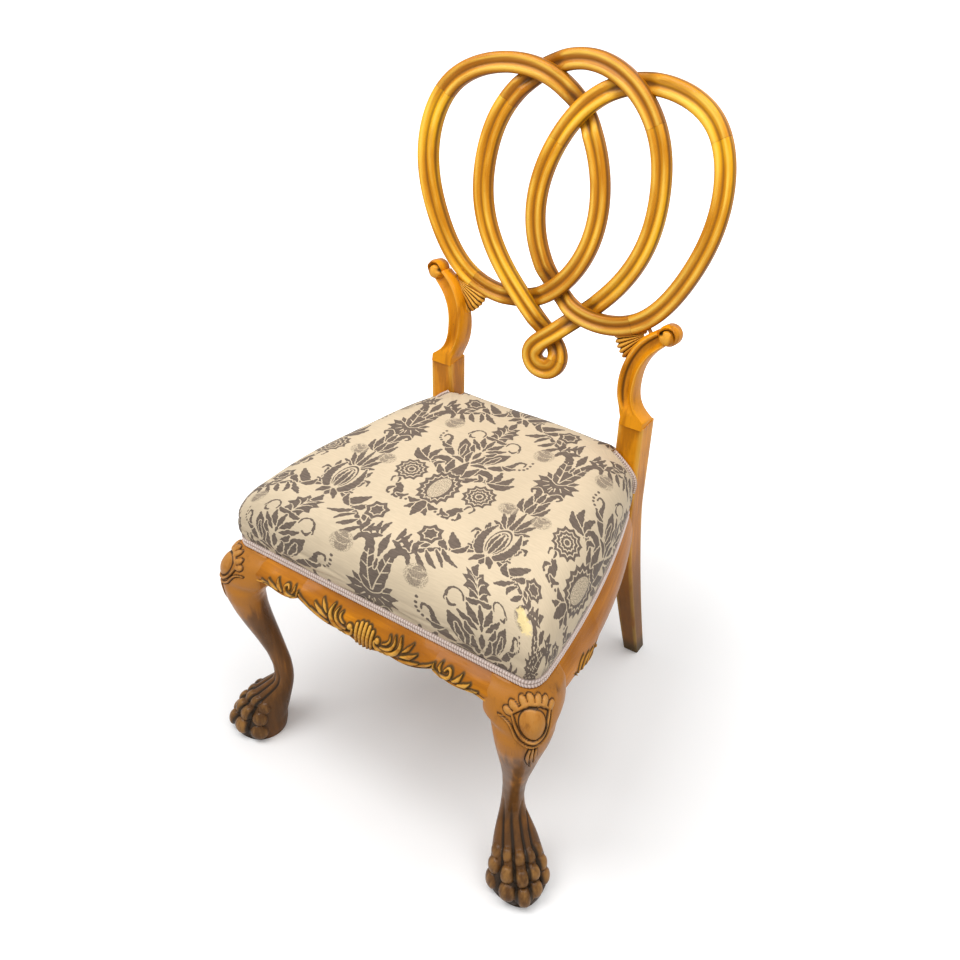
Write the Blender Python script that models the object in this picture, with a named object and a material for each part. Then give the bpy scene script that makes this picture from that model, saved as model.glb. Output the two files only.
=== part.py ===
"""Ribbon back dining chair: carved frame, three interlaced ribbon loops, stuffed-over seat.

Metres, +Z up, the chair faces -Y. Pieces are modelled with y = 0 on the front line of the seat
and hang on one empty that puts the origin on the floor under the middle of the chair.
"""
import math

import bmesh
import bpy
import numpy as np

# Clearances
FIT = 0.0003              # gap between pieces that touch
PEG_FIT = 0.0003          # gap round a peg, tenon or screw

# Overall frame
ORIGIN_TO_FRONT = 0.2347  # from the chair's origin forward to the front line of the seat
SHOW_TOP = 0.386          # top of the polished wood, where the cover ends
RAIL_TOP = 0.412          # top of the seat rails under the upholstery
REBATE = 0.0036           # depth of the step that takes the cover's edge
REBATE_FALL = 0.0004      # slope of the step's floor
RAIL_THICK = 0.028

# Seat plan
CORNER_X = 0.2615         # half width on the front line
SIDE_FRONT_X = 0.264      # half width where the sides start
SIDE_REAR_X = 0.190       # half width at the rear posts
SIDE_BOW = 0.0145         # how far the sides bow out of straight
SWELL_FRONT = 0.024       # how far the front rail swells out below the cover
SWELL_SIDE = 0.013        # and a side rail at the front leg
SWELL_REAR = 0.010        # and at the rear post
SWELL_BELLY = 0.004       # and more in the middle
SWELL_RUN = 1.35          # the full swell is reached at one part in this of the way down
SWELL_SHARES = (0.25, 0.5, 0.8)  # places down the face at which a rail's section bends
EDGE_ROUND = 0.002        # the swell is eased by this at a rail's lower edge

# Front legs
BLOCK = 0.0615            # side of the square block at the head of the leg
HEAD_INSET = 0.003        # the leg's head lies this far inside the rebate, under the cover
HEAD_CORNER = 0.018       # and its corner is cut back this far
LEG_SHIFT = 0.0150        # the shank stands this far to the front of the corner's diagonal
TOES = 4
TOE_DEPTH = 0.0035
TOE_SWELL = 0.4           # height of a toe over the sole's mean line, as a share of its depth
TOE_RUN = 0.020           # height over which the toes grow out of the ankle
ANKLE_Z = 0.31            # below this the shank has an extra section between two rows
HEAD_EDGE = 0.004         # the head's corner at the top of the polished wood
LEG_RING = 28

# Front rail
APRON_CUSPS = ((0.036, 0.344), (0.120, 0.364), (0.172, 0.3545), (0.200, 0.354))
APRON_LOBES = (0.0095, 0.011, 0.007, -0.003)
APRON_STEPS = (3, 5, 5, 3)  # sections in each lobe

# Side rails
SIDE_LOW_FRONT = 0.338
SIDE_LEAF_Y = (0.090, 0.172)
SIDE_LEAF_DROP = 0.014
SIDE_LEAF_LEAN = 1.4      # power that puts the leaf's lowest point towards its rear
SIDE_LEAF_TAIL = 0.030    # from the leaf to the next section of the rail
SIDE_LOW_REAR = 0.328
BACK_RAIL_LOW = 0.340
BACK_RAIL_SET = 0.003     # the back rail stands this far behind the posts' fronts

# Tenons
TENON_LONG = 0.024
TENON_THICK = 0.010
TENON_ROOT = 0.004        # length inside the rail itself
FRONT_TENON_IN = 0.010    # from the front line to the front rail's tenons
SIDE_TENON_IN = 0.024     # from the side line to the outside of the tenons in the front legs
REAR_TENON_IN = 0.021     # and of those in the posts
FRONT_TENON_Z = (0.356, 0.402)
SIDE_TENON_Z = (0.380, 0.404)
BACK_TENON_Z = (0.345, 0.366)

# Rear posts
POST_OUTER_X = 0.194
POST_WIDE = 0.040
POST_DEEP = 0.041
POST_FRONT_Y = 0.397
FOOT_WIDE = 0.028
FOOT_SWEEP = 0.088        # how far the foot stands behind the post
FOOT_SPLAY = 0.005        # and outside it
FOOT_BEND = 1.3           # power of the sweep
POST_CHAMFER = 0.002
POST_HEIGHTS = (0.0, 0.06, 0.12, 0.19, 0.27, 0.34, SHOW_TOP, 0.46)
SHOULDER_STEP = 0.006     # height of the step between post and scroll arm
SHOULDER_Z = 0.5433
SHOULDER_Y = 0.4019

# Plane of the back
RAKE = math.radians(11.9)
BACK_SAG = 0.0276         # depth of the hollow of the back in plan
BACK_HALF = 0.2357        # half width over which it is hollow

# Scroll arms at the head of the posts: distance up the back, centre, width
ARM = ((0.006, 0.1710, 0.0380), (0.018, 0.1605, 0.0300), (0.034, 0.1548, 0.0285), (0.056, 0.1535, 0.0285),
       (0.080, 0.1562, 0.0285), (0.102, 0.1640, 0.0285), (0.122, 0.1775, 0.0285), (0.136, 0.1930, 0.0260))
ARM_DEEP = 0.030
ARM_RIDGE = 0.003
ARM_THIN = 0.019          # depth of the arm at its volute
VOLUTE = (0.203, 0.142)
VOLUTE_RADIUS = 0.0158
VOLUTE_PROUD = 0.002

# Ribbons: points of the right loop, then of the right half of the middle loop, on the back
SIDE_LOOP = ((0.237, 0.339), (0.205, 0.423), (0.142, 0.455), (0.042, 0.444), (-0.034, 0.356),
             (-0.046, 0.231), (0.037, 0.133), (0.147, 0.143), (0.211, 0.223))
MIDDLE_LOOP = ((0.080, 0.449), (0.129, 0.388), (0.143, 0.330), (0.137, 0.254), (0.079, 0.156),
               (0.039, 0.117), (0.0, 0.080))
MIDDLE_TOP = 0.477
CURL_CENTRE = 0.0475      # height of the curl under the middle loop, up the back
CURL_WIDE = 0.0236        # half width and depth of the curl's centre line
CURL_DROP = 0.0212
LOOP_FORWARD = 0.0076     # the loops' faces stand this far before the hollow of the back
RIBBON_WIDE = 0.029
RIBBON_THICK = 0.019
RIBBON_VALLEY = 0.004     # depth of the groove between the two beads
BEAD_CREST, BEAD_FLANK = 0.42, 0.76  # places of a bead's crest and flank, as shares of the half width
FLANK_DEPTH, EDGE_DEPTH = 0.0015, 0.007
BACK_FLAT, BACK_ROUND = 0.7, 0.005  # flat share of the back and depth of its rounded edges
WEAVE = 0.0025            # rise or dip of a ribbon at a crossing
STATION = 0.016           # greatest length of ribbon between two sections
STATION_TURN = 0.17       # greatest turn between them, in radians
STATION_FINE = 0.002      # length over which the turn is measured
LAP_EASE = 0.010          # length of a housing beyond the crossing itself
LAP_OPEN = (-0.03, 0.06)  # depths to which the housings run out, before and behind the back
LOW_RUN_UP = 0.24         # a side loop passes its post below this height up the back
LOW_RUN_X = 0.085         # and outside this distance from the middle
CROWN_JOINT = 0.407       # height of the glue joints at the crown, up the back
INNER_JOINT = 0.366       # the right loop's glue joint on its inner side
FOOT_JOINT = 0.140        # glue joints under the side loops, out from the middle

# Pegs and screws
PEG_RADIUS = 0.003
PEG_LONG = 0.022
PEG_DEEPER = 0.0015       # pegs lie this far behind the middle of the ribbon
POST_PEG_LONG = 0.026
PEG_START, PEG_AIM = 0.004, 0.012  # distances from the ribbon's middle that give a post peg's line
POST_PEG_UP = 0.152       # height of the loops' pegs in the posts, up the back
SCREW_RADIUS = 0.0022
SCREW_LONG = 0.050
SCREW_HEAD = 0.0042
SCREW_HEAD_HIGH = 0.003
SCREW_LAP = 0.001         # the shank starts this far inside the head

# Fans between the loops and the posts
FAN_APEX = (0.167, 0.132)
FAN_RADIUS = 0.054
FAN_FROM = math.radians(190)
FAN_TO = math.radians(246)
FAN_RIBS = 6
FAN_RIB_HIGH = 0.0016
FAN_FRONT = 0.0045        # depths of the fan behind the loops' faces
FAN_BACK = 0.0155
FAN_CORE = 0.004          # radius at which the ribs start

# Corner blocks
BRACE_Z = (0.367, 0.401)
BRACE_RUN = 0.066
BRACE_EASE = 0.0008       # gap to the bowed inside of a side rail

# Upholstery
WEB_WIDE = 0.050
WEB_THICK = 0.0016
WEB_X = (-0.100, 0.0, 0.100)
WEB_Y = (0.105, 0.210, 0.315)
WEB_WAVE = 0.0011
WEB_EASE = 0.004          # flat run of a strap beyond each edge of the one it crosses
WEB_END = 0.008           # from the seat's outline to the ends of the straps
HESSIAN_THICK = 0.0012
COVER_THICK = 0.0022
STUFFING_EASE = 0.0022    # gap between the stuffing and the inside of the cover
GIMP_HIGH = 0.012
GIMP_THICK = 0.0022
GIMP_SINK = 0.005         # how far the braid before a post reaches under the edge of the cover
GIMP_STAND = 0.003        # and over it
SEAT_BULGE_Z = 0.420      # height at which the cover's wall stands out most
SEAT_BULGE = 0.004        # how far it stands out there
SEAT_EDGE = 0.438         # height at which the wall turns into the rounded shoulder
SEAT_ROUND = 0.060        # radius of the shoulder
SEAT_CROWN = 0.505        # height of the middle of the seat
FRONT_FALL = 0.014        # how far the seat is worn down at the front
FRONT_RUN = 0.200         # and how far back the wear reaches
SEAT_HALF = 0.230         # mean half width of the seat
SEAT_INSETS = (0.003, 0.009, 0.019, 0.034, 0.056, 0.090, 0.135, 0.185, 0.218)
POST_EDGES = (0.452, 0.474, 0.488, 0.476, 0.450)  # tops of the wall round a post, from the side inwards
POST_NOTCH = 0.0035       # gap kept between the cover and the posts
POST_CLIMB = 0.014        # run in which the cover's foot climbs over the rails beside a post
FOOT_GAP = 0.0012         # height of the cover's foot over the wood
CORNER_ROUND = 0.020
CORNER_RUN = 0.006        # from the rounded corner to the first point of the side
FRONT_SHARES = (0.38, 0.69)  # points of the front edge, as shares of its half width
SIDE_POINTS = 11

HONEY = (0.43, 0.20, 0.045, 1)
WALNUT = (0.19, 0.075, 0.022, 1)
LINEN = (0.62, 0.52, 0.36, 1)
BRAID = (0.60, 0.44, 0.36, 1)
JUTE = (0.42, 0.29, 0.15, 1)
HAIR = (0.13, 0.10, 0.075, 1)
STEEL = (0.45, 0.44, 0.42, 1)

UP = np.array([0.0, math.sin(RAKE), math.cos(RAKE)])
INTO = np.array([0.0, math.cos(RAKE), -math.sin(RAKE)])
SHOULDER = np.array([0.0, SHOULDER_Y, SHOULDER_Z])


# Objects and solids

def clear_scene():
    for item in list(bpy.data.objects):
        bpy.data.objects.remove(item)


def material(name, colour, roughness, metallic=0.0):
    made = bpy.data.materials.new(name)
    made.use_nodes = True
    shader = made.node_tree.nodes["Principled BSDF"]
    shader.inputs["Base Color"].default_value = colour
    shader.inputs["Roughness"].default_value = roughness
    shader.inputs["Metallic"].default_value = metallic
    made.diffuse_color = colour
    return made


def solid(name, points, faces):
    """A closed mesh object with its faces turned out."""
    mesh = bpy.data.meshes.new(name)
    mesh.from_pydata([tuple(float(c) for c in p) for p in points], [], faces)
    shape = bmesh.new()
    shape.from_mesh(mesh)
    bmesh.ops.recalc_face_normals(shape, faces=shape.faces)
    shape.to_mesh(mesh)
    shape.free()
    made = bpy.data.objects.new(name, mesh)
    bpy.context.scene.collection.objects.link(made)
    return made


def loft(name, rings, closed=False):
    """Skin a row of rings that have the same number of points, with flat ends or joined in a ring."""
    rings = np.asarray(rings, dtype=float)
    rows, count = rings.shape[:2]
    spans = rows if closed else rows - 1
    faces = []
    for row in range(spans):
        this, other = row * count, ((row + 1) % rows) * count
        for k in range(count):
            following = (k + 1) % count
            faces.append((this + k, this + following, other + following, other + k))
    if not closed:
        faces.append(tuple(range(count)))
        faces.append(tuple(range((rows - 1) * count, rows * count)))
    return solid(name, rings.reshape(-1, 3), faces)


def prism(name, outline, low, high):
    """A plan outline carried straight up from low to high."""
    rings = [[(x, y, z) for x, y in outline] for z in (low, high)]
    return loft(name, rings)


def box(name, low, high):
    outline = ((low[0], low[1]), (high[0], low[1]), (high[0], high[1]), (low[0], high[1]))
    return prism(name, outline, low[2], high[2])


def rod(name, start, end, radius, sides=12):
    """A round peg from start to end."""
    start, end = np.asarray(start, float), np.asarray(end, float)
    along = (end - start) / np.linalg.norm(end - start)
    side = np.cross(along, (0.0, 0.0, 1.0) if abs(along[2]) < 0.9 else (1.0, 0.0, 0.0))
    side /= np.linalg.norm(side)
    over = np.cross(along, side)
    turn = [2 * math.pi * k / sides for k in range(sides)]
    circle = np.array([radius * (math.cos(a) * side + math.sin(a) * over) for a in turn])
    return loft(name, [start + circle, end + circle])


def combine(body, tool, operation):
    """Apply one Boolean to body and drop the tool."""
    modifier = body.modifiers.new("combine", "BOOLEAN")
    modifier.operation = operation
    modifier.solver = "EXACT"
    modifier.object = tool
    graph = bpy.context.evaluated_depsgraph_get()
    mesh = bpy.data.meshes.new_from_object(body.evaluated_get(graph))
    body.modifiers.clear()
    body.data = mesh
    bpy.data.objects.remove(tool)


def cut(body, tool):
    combine(body, tool, "DIFFERENCE")


def join(body, tool):
    combine(body, tool, "UNION")


def finish(body, made, parent, sharp=math.radians(32)):
    body.data.materials.clear()
    body.data.materials.append(made)
    body.data.shade_smooth()
    body.data.set_sharp_from_angle(angle=sharp)
    body.parent = parent


# Plan of the seat

def side_x(y):
    """Half width of the seat at y: a straight taper with a bow on it."""
    share = y / POST_FRONT_Y
    return SIDE_FRONT_X + (SIDE_REAR_X - SIDE_FRONT_X) * share + SIDE_BOW * 4 * share * (1 - share)


def side_swell(y):
    share = min(max((y - BLOCK) / (POST_FRONT_Y - BLOCK), 0.0), 1.0)
    return SWELL_SIDE + (SWELL_REAR - SWELL_SIDE) * share + SWELL_BELLY * 4 * share * (1 - share)


def swell_profile(drop):
    """Share of the swell reached at a given share of the way down the polished face."""
    return math.sin(min(drop * SWELL_RUN, 1.0) * math.pi / 2)


def seat_outline(inset=0.0):
    """Closed plan of the cover's foot from the front centre, and which points lie against a post."""
    rear = POST_FRONT_Y - POST_NOTCH - inset
    tongue = POST_OUTER_X - POST_WIDE - POST_NOTCH - inset
    back = POST_FRONT_Y + POST_DEEP - inset
    half = [(share * CORNER_X, inset) for share in FRONT_SHARES]
    middle = CORNER_X - CORNER_ROUND
    reach = CORNER_ROUND - inset
    for angle in (-90, -60, -30):
        turn = math.radians(angle)
        half.append((middle + reach * math.cos(turn), CORNER_ROUND + reach * math.sin(turn)))
    for y in np.linspace(CORNER_ROUND + CORNER_RUN, POST_FRONT_Y - POST_CLIMB, SIDE_POINTS):
        half.append((side_x(y) - inset, y))
    free = len(half)
    half += [(side_x(rear) - inset, rear), ((side_x(rear) - inset + tongue) / 2, rear), (tongue, rear)]
    half += [(tongue, (rear + back) / 2), (tongue, back)]
    tied = len(half)
    half += [(tongue - POST_CLIMB / 2, back), (tongue / 2, back)]
    mirrored = [(-x, y) for x, y in reversed(half)]
    flags = [free <= k < tied for k in range(len(half))]
    points = [(0.0, inset)] + half + [(0.0, back)] + mirrored
    return np.array(points), np.array([False] + flags + [False] + flags[::-1])


# Front legs

HEAD_ROWS = (
    # height, outer reach from the corner along its diagonal, roundness, share of the shift
    (0.3720, 0.014, 1.30, 0.05),
    (0.3520, 0.027, 1.40, 0.15),
    (0.3370, 0.033, 1.50, 0.30),
)
LEG_ROWS = (
    # height, outer, side and inner reach from the corner along its diagonal, half width,
    # roundness outside and inside, share of the shift off the diagonal
    (0.3300, 0.034, -0.0200, -0.0600, 0.0455, 1.60, 1.3, 0.45),
    (0.3180, 0.034, -0.0060, -0.0360, 0.0420, 1.75, 1.8, 0.65),
    (0.3000, 0.0315, 0.0000, -0.0280, 0.0370, 1.90, 2.0, 0.85),
    (0.2700, 0.023, -0.0040, -0.0290, 0.0295, 2.0, 2.0, 1.0),
    (0.2400, 0.013, -0.0100, -0.0330, 0.0240, 2.0, 2.0, 1.0),
    (0.2050, 0.000, -0.0200, -0.0390, 0.0190, 2.0, 2.0, 1.0),
    (0.1700, -0.012, -0.0280, -0.0445, 0.0165, 2.0, 2.0, 1.0),
    (0.1400, -0.018, -0.0335, -0.0490, 0.0160, 2.0, 2.0, 1.0),
    (0.1150, -0.0185, -0.0340, -0.0500, 0.0178, 2.0, 2.0, 1.0),
    (0.1000, -0.014, -0.0310, -0.0490, 0.0205, 2.0, 2.0, 1.0),
    (0.0880, 0.003, -0.0220, -0.0470, 0.0255, 2.0, 2.0, 1.0),
    (0.0720, 0.027, -0.0080, -0.0430, 0.0322, 2.0, 2.0, 1.0),
    (0.0500, 0.047, 0.0060, -0.0370, 0.0385, 2.1, 2.0, 1.0),
    (0.0280, 0.060, 0.0140, -0.0300, 0.0430, 2.1, 2.1, 1.0),
    (0.0120, 0.066, 0.0170, -0.0290, 0.0450, 2.1, 2.1, 1.0),
    (0.0000, 0.061, 0.0170, -0.0260, 0.0415, 2.1, 2.1, 1.0),
)
PAW_TOP = 0.090


def leg_ring(row, hand, head=False, lead=0.0):
    """One level section of a front leg: two half superellipses that meet at the sides.

    lead is how much further the front face stands out than the side face."""
    z, outer, side_middle, inner, half_middle, round_out, round_in, shift = row
    points = []
    for k in range(LEG_RING):
        turn = 2 * math.pi * k / LEG_RING
        c, s = math.cos(turn), math.sin(turn)
        ahead = lead / math.sqrt(2) if s < 0 else 0.0
        side, half = side_middle + ahead, half_middle + ahead
        power = 2.0 / (round_out if c > 0 else round_in)
        reach = (outer - side) if c > 0 else (side - inner)
        along = side + math.copysign(abs(c) ** power, c) * reach
        across = math.copysign(abs(s) ** power, s) * half
        if z < PAW_TOP and c > 0:
            lobe = abs(math.cos(TOES * turn)) - 1 + TOE_SWELL
            grow = 1 + TOE_DEPTH / half * lobe * min((PAW_TOP - z) / TOE_RUN, 1.0)
            along = side + (along - side) * grow
            across *= grow
        across -= LEG_SHIFT * shift * (max(c, 0.0) if head else 1.0)
        x = CORNER_X + (along + across) / math.sqrt(2)
        y = (across - along) / math.sqrt(2)
        points.append((hand * x, y, z))
    return points


def block_row(z, set_back, swell, corner, roundness=1.2, shift=0.0):
    """A leg row for the square block at the head of the leg, whose faces meet the rails."""
    side = (-BLOCK - set_back + swell) / math.sqrt(2)
    half = (BLOCK - set_back + swell) / math.sqrt(2)
    return (z, corner, side, -BLOCK * math.sqrt(2), half, roundness, 1.0, shift)


def front_leg(name, hand):
    inside = REBATE + HEAD_INSET
    rings = []
    for z in (RAIL_TOP, SHOW_TOP + REBATE_FALL):
        rings.append(leg_ring(block_row(z, inside, 0.0, -HEAD_CORNER), hand, head=True))
    rings.append(leg_ring(block_row(SHOW_TOP, 0.0, 0.0, -HEAD_EDGE), hand, head=True))
    for z, corner, roundness, shift in HEAD_ROWS:
        share = swell_profile((SHOW_TOP - z) / (SHOW_TOP - APRON_CUSPS[-1][1]))
        row = block_row(z, 0.0, SWELL_SIDE * share, corner, roundness, shift)
        rings.append(leg_ring(row, hand, head=True, lead=(SWELL_FRONT - SWELL_SIDE) * share))
    shank = []
    for first, second in zip(LEG_ROWS, LEG_ROWS[1:]):
        shank.append(first)
        if PAW_TOP < second[0] and first[0] < ANKLE_Z:
            shank.append(tuple((a + b) / 2 for a, b in zip(first, second)))
    shank.append(LEG_ROWS[-1])
    body = loft(name, rings + [leg_ring(row, hand) for row in shank])
    cut(body, tenon(name + "_front_mortise", hand, "front", PEG_FIT))
    cut(body, tenon(name + "_side_mortise", hand, "side", PEG_FIT))
    return body


# Tenons and their mortises have one source: the mortise is the tenon grown by the peg fit

def tenon(name, hand, kind, grow=0.0):
    if kind == "front":
        shoulder = CORNER_X - BLOCK
        x = (shoulder - TENON_ROOT, shoulder + TENON_LONG)
        y = (FRONT_TENON_IN, FRONT_TENON_IN + TENON_THICK)
        z = FRONT_TENON_Z
    elif kind == "side":
        inside = side_x(BLOCK) - SIDE_TENON_IN
        x = (inside, inside + TENON_THICK)
        y = (BLOCK - TENON_LONG, BLOCK + TENON_ROOT)
        z = FRONT_TENON_Z
    elif kind == "rear":
        inside = SIDE_REAR_X - REAR_TENON_IN
        x = (inside, inside + TENON_THICK)
        y = (POST_FRONT_Y - TENON_ROOT, POST_FRONT_Y + TENON_LONG)
        z = SIDE_TENON_Z
    else:
        shoulder = POST_OUTER_X - POST_WIDE
        middle = POST_FRONT_Y + POST_DEEP / 2
        x = (shoulder - TENON_ROOT, shoulder + TENON_LONG)
        y = (middle - TENON_THICK / 2, middle + TENON_THICK / 2)
        z = BACK_TENON_Z
    spans = [sorted((hand * x[0], hand * x[1])), y, z]
    low = [span[0] - grow for span in spans]
    high = [span[1] + grow for span in spans]
    return box(name, low, high)


# Rails

def rail_ring(inner, low, swell, place):
    """Section of a rail: rebated top, swelled face, plain inside. place maps (out, z) to a point."""
    drop = SHOW_TOP - low
    points = [place(-inner, RAIL_TOP), place(-REBATE, RAIL_TOP), place(-REBATE, SHOW_TOP + REBATE_FALL)]
    points.append(place(0.0, SHOW_TOP))
    for share in SWELL_SHARES:
        points.append(place(swell * swell_profile(share), SHOW_TOP - drop * share))
    points += [place(swell - EDGE_ROUND, low), place(-inner, low)]
    return points


def apron_low(x):
    """Lower edge of the front rail: lobes hung between cusps."""
    reach = abs(x)
    if reach <= APRON_CUSPS[0][0]:
        edge, z = APRON_CUSPS[0]
        return z - APRON_LOBES[0] * math.cos(math.pi / 2 * reach / edge)
    for before, after, depth in zip(APRON_CUSPS, APRON_CUSPS[1:], APRON_LOBES[1:]):
        if reach <= after[0]:
            share = (reach - before[0]) / (after[0] - before[0])
            return before[1] + (after[1] - before[1]) * share - depth * math.sin(math.pi * share)
    return APRON_CUSPS[-1][1]


def front_rail():
    end = CORNER_X - BLOCK - FIT
    edges = [0.0] + [x for x, z in APRON_CUSPS[:-1]] + [end]
    half = []
    for before, after, steps in zip(edges, edges[1:], APRON_STEPS):
        half += [before + (after - before) * k / steps for k in range(steps)]
    half.append(end)
    stations = [-x for x in reversed(half[1:])] + half
    rings = []
    for x in stations:
        rings.append(rail_ring(RAIL_THICK, apron_low(x), SWELL_FRONT, lambda out, z, x=x: (x, -out, z)))
    body = loft("front_rail", rings)
    for hand in (-1, 1):
        join(body, tenon("front_tenon", hand, "front"))
    return body


def side_low(y):
    """Lower edge of a side rail: a carved leaf hangs behind the front leg."""
    start, end = SIDE_LEAF_Y
    share = (y - BLOCK) / (POST_FRONT_Y - BLOCK)
    z = SIDE_LOW_FRONT + (SIDE_LOW_REAR - SIDE_LOW_FRONT) * share
    if start < y < end:
        lean = ((y - start) / (end - start)) ** SIDE_LEAF_LEAN
        z -= SIDE_LEAF_DROP * math.sin(math.pi * lean)
    return z


def side_rail(name, hand):
    start, end = BLOCK + FIT, POST_FRONT_Y - FIT
    leaf = np.linspace(SIDE_LEAF_Y[0], SIDE_LEAF_Y[1], 7)
    stations = [start] + list(leaf) + list(np.linspace(SIDE_LEAF_Y[1] + SIDE_LEAF_TAIL, end, 7))
    rings = []
    for y in stations:
        def place(out, z, y=y):
            return (hand * (side_x(y) + out), y, z)
        rings.append(rail_ring(RAIL_THICK, side_low(y), side_swell(y), place))
    body = loft(name, rings)
    join(body, tenon(name + "_front_tenon", hand, "side"))
    join(body, tenon(name + "_rear_tenon", hand, "rear"))
    return body


def back_rail():
    end = POST_OUTER_X - POST_WIDE - FIT
    front, back = POST_FRONT_Y + BACK_RAIL_SET, POST_FRONT_Y + POST_DEEP - REBATE
    outline = ((front, BACK_RAIL_LOW), (back, BACK_RAIL_LOW), (back, RAIL_TOP), (front, RAIL_TOP))
    body = loft("back_rail", [[(x, y, z) for y, z in outline] for x in (-end, end)])
    for hand in (-1, 1):
        join(body, tenon("back_tenon", hand, "back"))
    return body


# Rear posts with their scroll arms

def on_plane(x, up, depth):
    """A point on the flat plane of the back, depth behind its face."""
    return np.array([x, 0.0, 0.0]) + SHOULDER + up * UP + depth * INTO


def post_ring(centre, across, into, wide, deep, ridge, grow):
    half = wide / 2 + grow
    c = POST_CHAMFER
    corners = ((-half, c), (-half + c, -grow), (0.0, -ridge - grow), (half - c, -grow), (half, c),
               (half, deep - c), (half - c, deep + grow), (-half + c, deep + grow), (-half, deep - c))
    return [centre + v * across + d * into for v, d in corners]


def post_rings(hand, arm_only=False, grow=0.0):
    rings = []
    level, straight_back = np.array([1.0, 0, 0]), np.array([0, 1.0, 0])
    for z in () if arm_only else POST_HEIGHTS + (SHOULDER_Z - SHOULDER_STEP,):
        share = max(1 - z / SHOW_TOP, 0.0)
        wide = POST_WIDE + (FOOT_WIDE - POST_WIDE) * share
        deep = POST_DEEP + (FOOT_WIDE - POST_DEEP) * share
        rise = max(z - SHOW_TOP, 0.0) / (SHOULDER_Z - SHOW_TOP)
        y = POST_FRONT_Y + FOOT_SWEEP * share ** FOOT_BEND + (SHOULDER_Y - POST_FRONT_Y) * rise
        centre = np.array([hand * (POST_OUTER_X + FOOT_SPLAY * share - wide / 2), y, z])
        rings.append(post_ring(centre, level, straight_back, wide, deep, 0.0, grow))
    line = np.array([(x, up) for up, x, wide in ARM])
    tangents = np.gradient(line, axis=0)
    deeps = np.interp(line[:, 1], (ARM[3][0], ARM[-1][0]), (ARM_DEEP, ARM_THIN))
    for (up, x, wide), (dx, du), deep in zip(ARM, tangents, deeps):
        size = math.hypot(dx, du)
        across = np.array([du / size, 0, 0]) - (hand * dx / size) * UP
        rings.append(post_ring(on_plane(hand * x, up, 0.0), across, INTO, wide, deep, ARM_RIDGE, grow))
    return rings


def volute(name, hand, grow=0.0):
    x, up = VOLUTE
    front = on_plane(hand * x, up, -VOLUTE_PROUD - grow)
    back = on_plane(hand * x, up, ARM_THIN + VOLUTE_PROUD + grow)
    return rod(name, front, back, VOLUTE_RADIUS + grow, 24)


def rear_post(name, hand, loop):
    body = loft(name, post_rings(hand))
    join(body, volute(name + "_volute", hand))
    cut(body, tenon(name + "_side_mortise", hand, "rear", PEG_FIT))
    cut(body, tenon(name + "_back_mortise", hand, "back", PEG_FIT))
    cut(body, loop.envelope(name + "_loop_seat", *loop.lower_run(), 2 * FIT))
    return body


# Ribbon back

def on_back(x, up, depth):
    """Points on the hollow face of the back, depth behind it; takes arrays."""
    x, up, depth = np.broadcast_arrays(np.asarray(x, float), up, depth)
    hollow = BACK_SAG * (1 - (x / BACK_HALF) ** 2) - LOOP_FORWARD + depth
    across = np.stack([x, np.zeros_like(x), np.zeros_like(x)], axis=-1)
    return across + SHOULDER + up[..., None] * UP + hollow[..., None] * INTO


def closed_spline(points, samples=40):
    """Dense points of the closed cubic spline through the given ones."""
    p = np.asarray(points, float)
    count = len(p)
    span = np.linalg.norm(np.roll(p, -1, axis=0) - p, axis=1)
    system = np.zeros((count, count))
    right = np.zeros((count, 2))
    for i in range(count):
        j = (i + 1) % count
        system[i, i - 1] += span[i - 1]
        system[i, i] += 2 * (span[i - 1] + span[i])
        system[i, j] += span[i]
        right[i] = 6 * ((p[j] - p[i]) / span[i] - (p[i] - p[i - 1]) / span[i - 1])
    bend = np.linalg.solve(system, right)
    dense = []
    for i in range(count):
        j, h = (i + 1) % count, span[i]
        t = np.linspace(0, h, samples, endpoint=False)[:, None]
        dense.append(bend[i] * (h - t) ** 3 / (6 * h) + bend[j] * t ** 3 / (6 * h)
                     + (p[i] / h - bend[i] * h / 6) * (h - t) + (p[j] / h - bend[j] * h / 6) * t)
    return np.vstack(dense)


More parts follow.
